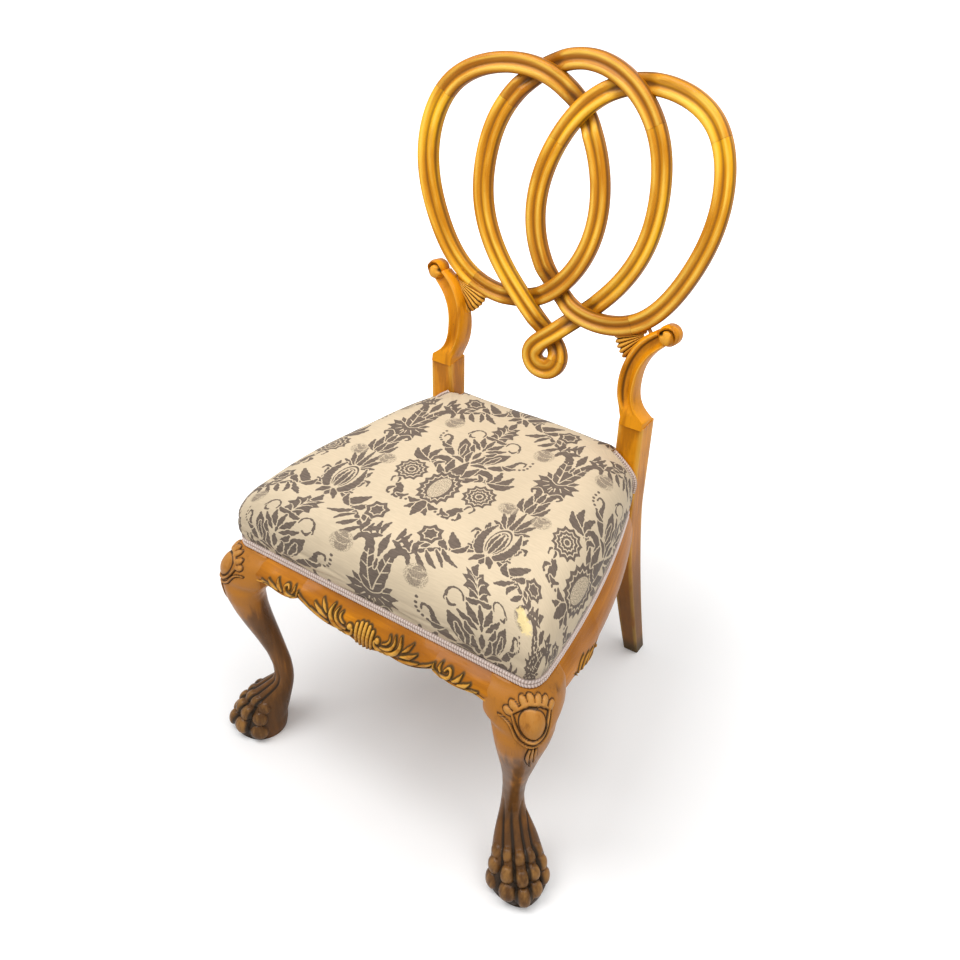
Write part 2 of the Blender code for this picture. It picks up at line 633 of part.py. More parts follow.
class Loop:
    """A closed ribbon: its centre line on the back, its crossings and the joints between strips."""

    def __init__(self, points):
        self.line = closed_spline(points)
        steps = np.linalg.norm(np.roll(self.line, -1, axis=0) - self.line, axis=1)
        self.mark = np.concatenate([[0.0], np.cumsum(steps)])
        self.length = self.mark[-1]
        self.crossings = []

    def at(self, distance):
        """Centre and unit tangent at a distance along the ribbon."""
        closed = np.vstack([self.line, self.line[:1]])

        def place(d):
            return np.array([np.interp(d % self.length, self.mark, closed[:, k]) for k in (0, 1)])
        tangent = place(distance + 0.001) - place(distance - 0.001)
        return place(distance), tangent / np.linalg.norm(tangent)

    def find(self, axis, value, near):
        """Distance to the place where a coordinate passes a value, nearest to a given point."""
        ahead = np.roll(self.line, -1, axis=0)
        passes = np.nonzero((self.line[:, axis] - value) * (ahead[:, axis] - value) <= 0)[0]
        best = min(passes, key=lambda i: np.linalg.norm(self.line[i] - near))
        share = (value - self.line[best, axis]) / (ahead[best, axis] - self.line[best, axis])
        return self.mark[best] + share * (self.mark[best + 1] - self.mark[best])

    def weave(self, distance):
        """Depth of the ribbon: it rises at one crossing and dips at the next."""
        marks = sorted(self.crossings)
        around = [(marks[-1][0] - self.length, marks[-1][1])] + marks
        around.append((marks[0][0] + self.length, marks[0][1]))
        d = distance % self.length
        for (start, first), (end, second) in zip(around, around[1:]):
            if start <= d <= end:
                share = (1 - math.cos(math.pi * (d - start) / (end - start))) / 2
                return -WEAVE * (first + (second - first) * share)
        return 0.0

    def stations(self, start, end):
        """Distances of the sections between two places, closer together where the ribbon bends."""
        fine = np.linspace(start, end, 2 + int((end - start) / STATION_FINE))
        tangents = np.array([self.at(distance)[1] for distance in fine])
        turn = np.linalg.norm(np.diff(tangents, axis=0), axis=1)
        passed = np.cumsum(np.maximum(np.diff(fine) / STATION, turn / STATION_TURN))
        passed = np.concatenate([[0.0], passed])
        count = max(math.ceil(passed[-1]), 2)
        return np.interp(np.linspace(0, passed[-1], count + 1), passed, fine)

    def sweep(self, name, start, end, section, woven=True):
        """Carry a section of (across, depth) points along the ribbon from start to end."""
        end = end if end > start else end + self.length
        section = np.asarray(section)
        rings = []
        for distance in self.stations(start, end):
            (x, up), (dx, du) = self.at(distance)
            sink = self.weave(distance) if woven else 0.0
            rings.append(on_back(x + du * section[:, 0], up - dx * section[:, 0], section[:, 1] + sink))
        return loft(name, rings)

    def strip(self, name, start, end):
        half, deep, v = RIBBON_WIDE / 2, RIBBON_THICK, RIBBON_VALLEY
        crest, flank, flat = BEAD_CREST * half, BEAD_FLANK * half, BACK_FLAT * half
        section = ((-half, EDGE_DEPTH), (-flank, FLANK_DEPTH), (-crest, 0.0), (0.0, v), (crest, 0.0),
                   (flank, FLANK_DEPTH), (half, EDGE_DEPTH), (half, deep - BACK_ROUND), (flat, deep),
                   (-flat, deep), (-half, deep - BACK_ROUND))
        return self.sweep(name, start + FIT / 2, end - FIT / 2, section)

    def envelope(self, name, start, end, grow):
        """The space that the ribbon takes, grown all round."""
        half = RIBBON_WIDE / 2 + grow
        section = ((-half, -grow), (half, -grow), (half, RIBBON_THICK + grow), (-half, RIBBON_THICK + grow))
        return self.sweep(name, start, end, section)

    def housing(self, name, crossing, reach, front):
        """Cutter for a lap where this ribbon crosses another: its front or back half, left open."""
        half = RIBBON_WIDE / 2 + 2 * FIT
        seat = RIBBON_THICK / 2
        near, far = (LAP_OPEN[0], seat + FIT / 2) if front else (seat - FIT / 2, LAP_OPEN[1])
        section = ((-half, near), (half, near), (half, far), (-half, far))
        return self.sweep(name, crossing - reach, crossing + reach, section, woven=False)

    def lower_run(self):
        """The stretch of a side loop that lies near the posts."""
        hand = math.copysign(1.0, self.line[:, 0].mean())
        low = self.find(1, LOW_RUN_UP, np.array([hand * POST_OUTER_X, LOW_RUN_UP]))
        foot = self.find(0, hand * LOW_RUN_X, np.array([0.0, 0.0]))
        return (foot, low)


def meet(first, second):
    """Distances along two loops to each place where their centre lines cross."""
    a, b = first.line, second.line
    da, db = np.roll(a, -1, axis=0) - a, np.roll(b, -1, axis=0) - b
    gap = b[None] - a[:, None]
    turn = da[:, None, 0] * db[None, :, 1] - da[:, None, 1] * db[None, :, 0]
    turn = np.where(np.abs(turn) < 1e-16, 1e-16, turn)
    t = (gap[..., 0] * db[None, :, 1] - gap[..., 1] * db[None, :, 0]) / turn
    u = (gap[..., 0] * da[:, None, 1] - gap[..., 1] * da[:, None, 0]) / turn
    found = []
    for i, j in zip(*np.nonzero((t >= 0) & (t < 1) & (u >= 0) & (u < 1))):
        if first is second and (j <= i + 1 or (i == 0 and j == len(b) - 1)):
            continue
        here = first.mark[i] + t[i, j] * (first.mark[i + 1] - first.mark[i])
        there = second.mark[j] + u[i, j] * (second.mark[j + 1] - second.mark[j])
        found.append((a[i, 1], here, there))
    return sorted(found, reverse=True)


def middle_points():
    """The middle loop from its crown down the right, round the curl and up the left."""
    slope = math.sqrt(0.5)
    right = [(0.0, MIDDLE_TOP)] + list(MIDDLE_LOOP)
    right += [(-CURL_WIDE, CURL_CENTRE), (-slope * CURL_WIDE, CURL_CENTRE - slope * CURL_DROP)]
    foot = [(0.0, CURL_CENTRE - CURL_DROP)]
    left = [(-x, up) for x, up in reversed(right[1:])]
    return right + foot + left


def lap_reach(over, here, under, there):
    """Half length of a housing that clears the whole crossing of two ribbons."""
    (ax, au), (bx, bu) = over.at(here)[1], under.at(there)[1]
    along, square = abs(ax * bx + au * bu), abs(ax * bu - au * bx)
    return (RIBBON_WIDE / 2 + FIT) * (1 + along) / square + LAP_EASE


def peg_at(name, loop, distance, long, radius):
    """A peg along the ribbon, through the middle of its section."""
    (x, up), (dx, du) = loop.at(distance)
    depth = RIBBON_THICK / 2 + PEG_DEEPER + loop.weave(distance)
    middle = on_back(x, up, depth)
    ahead = on_back(x + STATION_FINE * dx, up + STATION_FINE * du, depth)
    along = (ahead - middle) / np.linalg.norm(ahead - middle)
    return rod(name, middle - along * long / 2, middle + along * long / 2, radius)


def ribbon_back():
    """Ten strips in three interlaced loops, housed into each other where they cross."""
    right = Loop(SIDE_LOOP)
    left = Loop([(-x, up) for x, up in SIDE_LOOP])
    middle = Loop(middle_points())
    laps = []
    for over, under, spot in ((left, middle, "first"), (middle, left, "last"), (middle, right, "first"),
                              (right, middle, "last"), (right, left, "first"), (left, right, "last")):
        places = meet(over, under)
        _, here, there = places[0] if spot == "first" else places[-1]
        laps.append((over, here, under, there))
    _, here, there = meet(middle, middle)[0]
    laps.append((middle, here, middle, there))
    for over, here, under, there in laps:
        over.crossings.append((here, 1))
        under.crossings.append((there, -1))

    crown_right = right.find(1, CROWN_JOINT, np.array([0.21, CROWN_JOINT]))
    inner_right = right.find(1, INNER_JOINT, np.array([-0.03, INNER_JOINT]))
    foot_right = right.find(0, FOOT_JOINT, np.array([FOOT_JOINT, 0.0]))
    crown_left = left.find(1, CROWN_JOINT, np.array([-0.21, CROWN_JOINT]))
    foot_left = left.find(0, -FOOT_JOINT, np.array([-FOOT_JOINT, 0.0]))
    hidden_left = laps[4][3]
    middle_right = middle.find(1, CROWN_JOINT, np.array([0.12, CROWN_JOINT]))
    middle_left = middle.find(1, CROWN_JOINT, np.array([-0.12, CROWN_JOINT]))
    hidden_middle = laps[3][3]
    curl_end = middle.find(1, CURL_CENTRE, np.array([CURL_WIDE, CURL_CENTRE]))

    plan = (("right_loop_crown", right, crown_right, inner_right),
            ("right_loop_inner", right, inner_right, foot_right),
            ("right_loop_outer", right, foot_right, crown_right),
            ("left_loop_crown", left, crown_left, hidden_left),
            ("left_loop_inner", left, hidden_left, foot_left),
            ("left_loop_outer", left, foot_left, crown_left),
            ("middle_loop_crown", middle, middle_left, middle_right),
            ("middle_loop_right", middle, middle_right, hidden_middle),
            ("middle_loop_curl", middle, hidden_middle, curl_end),
            ("middle_loop_left", middle, curl_end, middle_left))
    strips = []
    for name, loop, start, end in plan:
        body = loop.strip(name, start, end)
        strips.append((body, loop, start, end if end > start else end + loop.length))

    def touching(loop, distance, reach):
        for body, owner, start, end in strips:
            around = [distance + turn for turn in (0.0, loop.length)]
            if owner is loop and any(start - reach < d < end + reach for d in around):
                yield body

    for over, here, under, there in laps:
        reach = lap_reach(over, here, under, there)
        own = over is under
        for body in touching(over, here, reach):
            if not (own and body.name == "middle_loop_left"):
                cut(body, under.housing("lap_back", there, reach, front=False))
        for body in touching(under, there, reach):
            if not (own and body.name != "middle_loop_left"):
                cut(body, over.housing("lap_front", here, reach, front=True))

    pegs = []
    joints = ((right, crown_right), (right, inner_right), (right, foot_right), (left, crown_left),
              (left, foot_left), (middle, middle_right), (middle, middle_left))
    for number, (loop, distance) in enumerate(joints, 1):
        for body, owner, start, end in strips:
            ends = [start % loop.length, end % loop.length]
            if owner is loop and min(abs(e - distance % loop.length) for e in ends) < 1e-6:
                cut(body, peg_at("hole", loop, distance, PEG_LONG + 2 * PEG_FIT, PEG_RADIUS + PEG_FIT))
        pegs.append(peg_at("ribbon_peg_%d" % number, loop, distance, PEG_LONG, PEG_RADIUS))
    return left, right, [body for body, *_ in strips], pegs


def post_peg(name, hand, loop, grow=0.0):
    """A peg from the underside of a side loop into the scroll arm."""
    distance = loop.find(1, POST_PEG_UP, np.array([hand * FAN_APEX[0], POST_PEG_UP]))
    (x, up), (dx, du) = loop.at(distance)
    out = np.array([du, -dx]) if loop.line[:, 0].mean() * hand * du > 0 else np.array([-du, dx])
    if out[1] > 0:
        out = -out
    depth = RIBBON_THICK / 2 + loop.weave(distance)
    inner = on_back(x + PEG_START * out[0], up + PEG_START * out[1], depth)
    outer = on_back(x + PEG_AIM * out[0], up + PEG_AIM * out[1], depth)
    along = (outer - inner) / np.linalg.norm(outer - inner)
    return rod(name, inner - along * grow, inner + along * (POST_PEG_LONG + grow), PEG_RADIUS + grow)


def fan(name, hand, loop):
    """A fluted fan that fills the angle between a side loop and its scroll arm."""
    rings = []
    count = 2 * FAN_RIBS
    for k in range(count + 1):
        angle = FAN_FROM + (FAN_TO - FAN_FROM) * k / count
        rib = FAN_RIB_HIGH if k % 2 else 0.0
        ring = []
        for radius, depth in ((FAN_CORE, FAN_FRONT - rib), (FAN_RADIUS + rib, FAN_FRONT - rib),
                              (FAN_RADIUS + rib, FAN_BACK), (FAN_CORE, FAN_BACK)):
            x, up = FAN_APEX[0] + radius * math.cos(angle), FAN_APEX[1] + radius * math.sin(angle)
            ring.append(on_back(hand * x, up, depth))
        rings.append(ring)
    body = loft(name, rings)
    cut(body, loop.envelope(name + "_loop_seat", *loop.lower_run(), 2 * FIT))
    cut(body, loft(name + "_arm_seat", post_rings(hand, arm_only=True, grow=FIT)))
    return body


# Corner blocks and screws

def brace_outline(front):
    """Plan of a corner block on the right: against two rails and round the leg or post."""
    if front:
        wall, corner = RAIL_THICK + FIT, (CORNER_X - BLOCK - FIT, BLOCK + FIT)
        far = corner[1] + BRACE_RUN
        side = [(side_x(y) - RAIL_THICK - BRACE_EASE, y) for y in (corner[1], far)]
        return [(corner[0] - BRACE_RUN, wall), (corner[0], wall), corner] + side
    wall, corner = POST_FRONT_Y + BACK_RAIL_SET - FIT, (POST_OUTER_X - POST_WIDE - FIT, POST_FRONT_Y - FIT)
    far = corner[1] - BRACE_RUN
    side = [(side_x(y) - RAIL_THICK - BRACE_EASE, y) for y in (corner[1], far)]
    return [(corner[0] - BRACE_RUN, wall), (corner[0], wall), corner] + side


def brace_screw(name, hand, front, grow=0.0):
    """A countersunk wood screw from the open face of the block into the leg or post."""
    outline = brace_outline(front)
    a, c, e = (np.array(outline[k]) for k in (0, 2, 4))
    out = np.array([a[1] - e[1], e[0] - a[0]])
    out /= np.linalg.norm(out)
    if np.dot(out, c - (a + e) / 2) < 0:
        out = -out
    start = (a + e) / 2
    target = start + out * SCREW_LONG
    z = sum(BRACE_Z) / 2
    first = np.array([hand * start[0], start[1], z])
    last = np.array([hand * target[0], target[1], z])
    along = (last - first) / SCREW_LONG
    head = rod(name, first - along * grow, first + along * (SCREW_HEAD_HIGH + grow), SCREW_HEAD + grow)
    join(head, rod(name + "_shank", first + along * SCREW_LAP, last + along * grow, SCREW_RADIUS + grow))
    return head


def brace(name, hand, front):
    outline = [(hand * x, y) for x, y in brace_outline(front)]
    return prism(name, outline, *BRACE_Z)


# Upholstery

def web_wave(place, crossings, first_up):
    """Height of a web strap over its rest level, up and down by turns at the crossings."""
    flat = WEB_WIDE / 2 + WEB_EASE
    knots = [(crossings[0] - 2 * flat, 0.0)]
    for k, middle in enumerate(crossings):
        level = WEB_WAVE * (1 if (k % 2 == 0) == first_up else -1)
        knots += [(middle - flat, level), (middle + flat, level)]
    knots.append((crossings[-1] + 2 * flat, 0.0))
    return np.interp(place, [k[0] for k in knots], [k[1] for k in knots])


def web_strap(name, start, end, crossings, first_up, point):
    """A strap from start to end; point maps (along, across, height) to the seat's frame."""
    flat = WEB_WIDE / 2 + WEB_EASE
    stations = [start, crossings[0] - 2 * flat]
    for middle in crossings:
        stations += [middle - flat, middle + flat]
    stations += [crossings[-1] + 2 * flat, end]
    base = RAIL_TOP + FIT
    rings = []
    for along in sorted(stations):
        low = base + web_wave(along, crossings, first_up)
        half = WEB_WIDE / 2
        rings.append([point(along, -half, low), point(along, half, low),
                      point(along, half, low + WEB_THICK), point(along, -half, low + WEB_THICK)])
    return loft(name, rings)


def webbing():
    straps = []
    for k, x in enumerate(WEB_X):
        straps.append(web_strap("web_long_%d" % (k + 1), WEB_END, POST_FRONT_Y + RAIL_THICK - WEB_END, WEB_Y, k % 2 == 0,
                                lambda along, across, z, x=x: (x + across, along, z)))
    for k, y in enumerate(WEB_Y):
        reach = side_x(y + WEB_WIDE / 2) - WEB_END
        straps.append(web_strap("web_cross_%d" % (k + 1), -reach, reach, WEB_X, k % 2 == 1,
                                lambda along, across, z, y=y: (along, y + across, z)))
    return straps


def seat_levels():
    """Levels of the cover: share of the plan kept, outward bulge as a share of the full one, height."""
    foot = SHOW_TOP + FOOT_GAP
    levels = [(1.0, -0.1, foot), (1.0, -0.05, foot + GIMP_HIGH), (1.0, 1.0, SEAT_BULGE_Z), (1.0, 0.35, SEAT_EDGE)]
    for inset in SEAT_INSETS:
        turn = math.acos(max(1 - inset / SEAT_ROUND, 0.0))
        crown = (SEAT_CROWN - SEAT_EDGE - SEAT_ROUND) * inset / SEAT_HALF
        levels.append((1 - inset / SEAT_HALF, 0.0, SEAT_EDGE + SEAT_ROUND * math.sin(turn) + crown))
    return levels


def seat_ring(level, inset=0.0, drop=0.0):
    """One level of the cover. Round the posts its foot stands on the rails and its wall is higher."""
    share, bulge, height = level
    outline, tied = seat_outline(inset)
    near = tied | np.roll(tied, 1) | np.roll(tied, -1)
    middle = np.array([0.0, POST_FRONT_Y / 2])
    edges = iter(POST_EDGES + POST_EDGES[::-1])
    foot = SHOW_TOP + FOOT_GAP
    ring = []
    for point, held, still in zip(outline, tied, near):
        grow = share + SEAT_BULGE * (min(bulge, 0.0) if still else bulge) / CORNER_X
        x, y = middle + grow * (point - middle)
        low, edge = (RAIL_TOP + FOOT_GAP, next(edges)) if held else (foot, SEAT_EDGE)
        z = max(edge, height) if height > SEAT_EDGE else np.interp(height, (foot, SEAT_EDGE), (low, edge))
        worn = max(1 - y / FRONT_RUN, 0.0) ** 2 * (z - foot) / (SEAT_CROWN - foot)
        ring.append((x, y, z - FRONT_FALL * worn - drop))
    return ring


def seat_cover():
    levels = seat_levels()
    inner = []
    for k, level in enumerate(levels):
        drop = COVER_THICK * min(k / 8, 1.0)
        inner.append(seat_ring(level, COVER_THICK * max(1 - k / 12, 0.0), drop))
    outer = [seat_ring(level) for level in levels]
    return loft("seat_cover", inner[::-1] + outer)


def hessian_levels():
    low = RAIL_TOP + FIT + WEB_WAVE + WEB_THICK + FIT
    return low, low + HESSIAN_THICK


def hessian():
    outline, _ = seat_outline(COVER_THICK + REBATE)
    return prism("hessian", outline, *hessian_levels())


def seat_stuffing():
    low = hessian_levels()[1] + FIT
    gap = COVER_THICK + STUFFING_EASE
    edge, *crown = seat_levels()[3:]
    rings = [[(x, y, low) for x, y, z in seat_ring(edge, gap)]]
    rings += [seat_ring(level, gap, gap) for level in [edge] + crown]
    return loft("seat_stuffing", rings)


def braid(name, first, last):
    """Flat braid on the foot of the cover, between two points of its outline."""
    inner, tied = seat_outline(-FIT)
    outer, _ = seat_outline(-FIT - GIMP_THICK)
    count = len(inner)
    rings = []
    for k in range(first, last + 1):
        a, b, held = inner[k % count], outer[k % count], tied[k % count]
        low = FOOT_GAP / 2 + (RAIL_TOP if held else SHOW_TOP)
        rings.append([(*a, low), (*b, low), (*b, low + GIMP_HIGH), (*a, low + GIMP_HIGH)])
    return loft(name, rings)


def post_braid(name, hand):
    """Braid up the outer corner of a post's front and over the cover's edge along it."""
    y = POST_FRONT_Y - FIT
    x = side_x(POST_FRONT_Y - POST_NOTCH)
    inside = POST_OUTER_X - POST_WIDE
    side, middle, end = POST_EDGES[:3]
    line = np.array([(x, RAIL_TOP + GIMP_HIGH + 2 * FOOT_GAP), (x, side), ((x + inside) / 2, middle), (inside, end)])
    rings = []
    for point, along in zip(line, np.gradient(line, axis=0)):
        out = np.array([along[1], -along[0]]) / np.linalg.norm(along)
        low, high = point - GIMP_SINK * out, point + GIMP_STAND * out
        rings.append([(hand * low[0], y - GIMP_THICK, low[1]), (hand * low[0], y, low[1]),
                      (hand * high[0], y, high[1]), (hand * high[0], y - GIMP_THICK, high[1])])
    return loft(name, rings)


def gimp():
    _, tied = seat_outline()
    held = np.nonzero(tied)[0]
    half = len(held) // 2
    pieces = [braid("gimp_front", held[-1], held[0] + len(tied))]
    pieces.append(braid("gimp_back", held[half - 1], held[half]))
    return pieces + [post_braid("gimp_post_" + side, hand) for hand, side in ((-1, "left"), (1, "right"))]


# Assembly

def build():
    clear_scene()
    chair = bpy.data.objects.new("ribbon_back_chair", None)
    bpy.context.scene.collection.objects.link(chair)
    chair.location = (0.0, -ORIGIN_TO_FRONT, 0.0)

    honey = material("honey_wood", HONEY, 0.34)
    walnut = material("dark_wood", WALNUT, 0.36)
    peg_wood = material("peg_wood", (0.50, 0.33, 0.16, 1), 0.6)
    rough_wood = material("rough_wood", (0.40, 0.25, 0.11, 1), 0.7)
    linen = material("damask_cover", LINEN, 0.85)
    braid_cloth = material("gimp", BRAID, 0.8)
    jute = material("jute_web", JUTE, 0.9)
    sacking = material("hessian_cloth", (0.36, 0.26, 0.15, 1), 0.95)
    hair = material("hair_stuffing", HAIR, 0.95)
    steel = material("screw_steel", STEEL, 0.4, 1.0)

    left, right, strips, pegs = ribbon_back()
    loops = {-1: left, 1: right}
    legs = {}
    for hand, side in ((-1, "left"), (1, "right")):
        legs[hand] = front_leg("front_leg_" + side, hand)
        post = rear_post("rear_post_" + side, hand, loops[hand])
        rib = fan("fan_" + side, hand, loops[hand])
        cut(post, post_peg("peg_hole", hand, loops[hand], PEG_FIT))
        outer = bpy.data.objects["%s_loop_outer" % side]
        cut(outer, post_peg("peg_hole", hand, loops[hand], PEG_FIT))
        peg = post_peg("post_peg_" + side, hand, loops[hand])
        finish(peg, peg_wood, chair)
        for front, place, base in ((True, "front", legs[hand]), (False, "rear", post)):
            block = brace("corner_block_%s_%s" % (place, side), hand, front)
            cut(block, brace_screw("screw_hole", hand, front, PEG_FIT))
            cut(base, brace_screw("screw_hole", hand, front, PEG_FIT))
            finish(block, rough_wood, chair)
            finish(brace_screw("screw_%s_%s" % (place, side), hand, front), steel, chair)
        finish(legs[hand], walnut, chair)
        finish(post, honey, chair)
        finish(rib, honey, chair)
        finish(side_rail("side_rail_" + side, hand), honey, chair)
    finish(front_rail(), honey, chair)
    finish(back_rail(), honey, chair)
    for strip in strips:
        finish(strip, honey, chair)
    for peg in pegs:
        finish(peg, peg_wood, chair)
    for strap in webbing():
        finish(strap, jute, chair)
    finish(hessian(), sacking, chair)
    finish(seat_stuffing(), hair, chair)
    finish(seat_cover(), linen, chair)
    for piece in gimp():
        finish(piece, braid_cloth, chair)


build()
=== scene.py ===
# %% [markdown]
# # Ribbon back chair
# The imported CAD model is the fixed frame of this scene. Every visible surface is made again over it with more
# detail: carving, wood grain, cloth. All pieces are grids of points worked out with numpy.

# %% Load the frame
import math

import bpy
import numpy as np
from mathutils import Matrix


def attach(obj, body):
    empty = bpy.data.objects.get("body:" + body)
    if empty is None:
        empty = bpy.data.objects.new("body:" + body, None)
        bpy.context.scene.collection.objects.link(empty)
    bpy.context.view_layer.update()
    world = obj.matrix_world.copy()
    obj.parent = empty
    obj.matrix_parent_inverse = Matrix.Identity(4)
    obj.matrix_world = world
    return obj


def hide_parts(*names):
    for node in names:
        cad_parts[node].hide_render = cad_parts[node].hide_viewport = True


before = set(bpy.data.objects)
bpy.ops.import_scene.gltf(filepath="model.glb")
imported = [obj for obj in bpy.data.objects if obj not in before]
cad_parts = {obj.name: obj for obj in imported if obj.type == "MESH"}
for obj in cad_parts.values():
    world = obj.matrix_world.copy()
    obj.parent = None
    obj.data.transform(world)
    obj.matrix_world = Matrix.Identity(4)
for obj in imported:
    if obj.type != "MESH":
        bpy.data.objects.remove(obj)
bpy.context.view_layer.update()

# %% [markdown]
# ## Camera
# The photograph looks down on the chair from the front right. The camera's direction, lens and place were
# measured from points of the frame that are mirrored left and right, so the render has the photograph's frame.
# A camera matrix is three unit arrows, right, up and back, and a place.

# %% Camera
FRONT_LINE = 0.2347  # the front line of the seat lies this far before the origin
TURN, LIFT, LEAN = (math.radians(a) for a in (34.573, 36.149, -0.146))
CAMERA_PLACE = (0.66917, -0.94439, 1.31340)
SENSOR = 36.0
FOCAL = 0.99923      # focal length as a share of the picture's width


def add(name, data):
    """A new object in the scene."""
    made = bpy.data.objects.new(name, data)
    bpy.context.scene.collection.objects.link(made)
    return made


def pose(right, up, back, place):
    """An object's matrix from its three unit arrows and its place."""
    matrix = np.eye(4)
    matrix[:3] = np.column_stack([right, up, back, place])
    return matrix.T.tolist()


looking_back = np.array([math.sin(TURN) * math.cos(LIFT), -math.cos(TURN) * math.cos(LIFT), math.sin(LIFT)])
level = np.array([math.cos(TURN), math.sin(TURN), 0.0])
upright = np.cross(looking_back, level)
camera = add("camera", bpy.data.cameras.new("camera"))
camera.data.sensor_width, camera.data.lens = SENSOR, SENSOR * FOCAL
camera.matrix_world = pose(math.cos(LEAN) * level + math.sin(LEAN) * upright,
                           math.cos(LEAN) * upright - math.sin(LEAN) * level, looking_back, CAMERA_PLACE)
bpy.context.scene.camera = camera
print("camera lens", round(camera.data.lens, 2), "mm")

# %% [markdown]
# ## Shader maths
# A material is a graph of nodes. Written by hand it gets long, so a small class wraps a socket and turns Python's
# operators into Math nodes. One method makes every other node: its type, its settings, then its sockets.

# %% Sockets as values, finishes as sheets of nodes
class Wire:
    """One output socket, usable in sums and products."""

    def __init__(self, finish, socket):
        self.finish, self.socket = finish, socket

    def maths(self, operation, first, second):
        return self.finish.node("ShaderNodeMath", {"operation": operation}, {0: first, 1: second})

    def __add__(self, other):
        return self.maths("ADD", self, other)

    def __sub__(self, other):
        return self.maths("SUBTRACT", self, other)

    def __rsub__(self, other):
        return self.maths("SUBTRACT", other, self)

    def __mul__(self, other):
        return self.maths("MULTIPLY", self, other)


class Finish:
    """One material or world: fixed values go straight onto the shader, the rest comes through nodes."""

    def __init__(self, name, fixed, kind=bpy.data.materials, shader="Principled BSDF"):
        self.material = kind.new(name)
        self.material.use_nodes = True
        self.tree = self.material.node_tree
        self.shader = self.tree.nodes[shader]
        for socket, value in fixed.items():
            self.shader.inputs[socket].default_value = value

    def node(self, kind, settings, inputs, output=0):
        made = self.tree.nodes.new(kind)
        for key, value in settings.items():
            setattr(made, key, value)
        for key, value in inputs.items():
            if isinstance(value, Wire):
                self.tree.links.new(value.socket, made.inputs[key])
            else:
                made.inputs[key].default_value = value
        return Wire(self, made.outputs[output])

    def feed(self, socket, wire):
        self.tree.links.new(wire.socket, self.shader.inputs[socket])

    def place(self):
        return self.node("ShaderNodeTexCoord", {}, {}, "Object")

    def value(self, name):
        return self.node("ShaderNodeAttribute", {"attribute_name": name}, {}, "Fac")

    def vector(self, name):
        return self.node("ShaderNodeAttribute", {"attribute_name": name}, {}, "Vector")

    def noise(self, vector, scale, detail, rough=0.55):
        return self.node("ShaderNodeTexNoise", {}, {"Vector": vector, "Scale": scale, "Detail": detail,
                                                    "Roughness": rough})

    def streaks(self, vector, factors, detail=1.0, rough=0.55, scale=1.0):
        """Noise with its own scale along each axis."""
        scaled = self.node("ShaderNodeVectorMath", {"operation": "MULTIPLY"}, {0: vector, 1: factors})
        return self.noise(scaled, scale, detail, rough)

    def step(self, wire, low, high):
        """0 below low, 1 above high, smooth between."""
        return self.node("ShaderNodeMapRange", {"interpolation_type": "SMOOTHSTEP"}, {0: wire, 1: low, 2: high})

    def mix(self, share, first, second):
        """From the first colour to the second; a colour is a wire or three numbers."""
        first, second = (c if isinstance(c, Wire) else (*c, 1) for c in (first, second))
        return self.node("ShaderNodeMix", {"data_type": "RGBA"}, {0: share, 6: first, 7: second}, 2)

    def bump(self, height, distance, strength):
        made = self.node("ShaderNodeBump", {}, {"Height": height, "Distance": distance, "Strength": strength})
        self.feed("Normal", made)


# %% [markdown]
# ## Varnished wood
# The frame is a pale hardwood under a golden, slightly worn varnish; the front legs were stained darker. Wood shows
# long streaks and short pores along its fibres, so the pattern is noise that is stretched along the grain. Each
# piece carries its own grain coordinates, so that the fibres follow a ribbon round its bends. Three more attributes
# come from the pieces: one darkens hollows, grooves and creases, partly as dark polish settled there and partly as
# painted shade; one makes crests pale, partly where hands have rubbed them and partly as a painted highlight; and
# tint, which tells one strip of wood from the next.

# %% Wood finish
FIBRES, BANDS, PORES = (7.0, 120.0, 120.0), (9.0, 26.0, 26.0), (60.0, 1100.0, 1100.0)   # waves per metre


def wood(name, dark, mid, light, grime_and_shade_colour, rubbed_and_sheen, gloss):
    """Streaks mix dark to light along the grain, pores darken, hollows take settled polish and painted shade, crests
    wear and a painted highlight.
    """
    made = Finish(name, {"Coat Weight": 0.10, "Coat Roughness": 0.08, "Coat IOR": 1.5, "Specular IOR Level": 0.13})
    grain = made.vector("grain")
    streak, broad = made.streaks(grain, FIBRES, 4.0, 0.6), made.streaks(grain, BANDS, 2.0)
    pores = made.step(made.streaks(grain, PORES, 2.0), 0.60, 0.72)
    specks = made.step(made.noise(made.place(), 310.0, 2.0, 0.7), 0.70, 0.76)
    tone = made.step(streak * 0.45 + broad * 0.55 + made.value("tint"), 0.22, 0.74)
    colour = made.mix(tone, dark, mid)
    colour = made.mix(made.step(tone, 0.62, 1.05) * 0.8, colour, light)
    colour = made.mix(pores * 0.28, colour, dark)
    # Crests turn pale: partly wear, partly a painted highlight.
    wear_and_sheen_share = made.value("worn") * made.step(broad + streak, 0.70, 1.15)
    colour = made.mix(wear_and_sheen_share * 0.62, colour, rubbed_and_sheen)
    colour = made.mix(specks * 0.55, colour, grime_and_shade_colour)
    # Hollows darken: partly dark polish settled there, partly painted shade.
    hollow = made.value("hollow")
    grime_and_shade_share = made.step(hollow + (streak - 0.5) * 0.35, 0.12, 0.95)
    made.feed("Base Color", made.mix(grime_and_shade_share * 0.9, colour, grime_and_shade_colour))
    made.feed("Roughness", broad * 0.16 + hollow * 0.22 + pores * 0.08 + gloss)
    made.bump(streak * 0.4 - pores * 0.7 + made.noise(made.place(), 55.0, 2.0) * 0.9, 0.00035, 0.5)
    return made.material


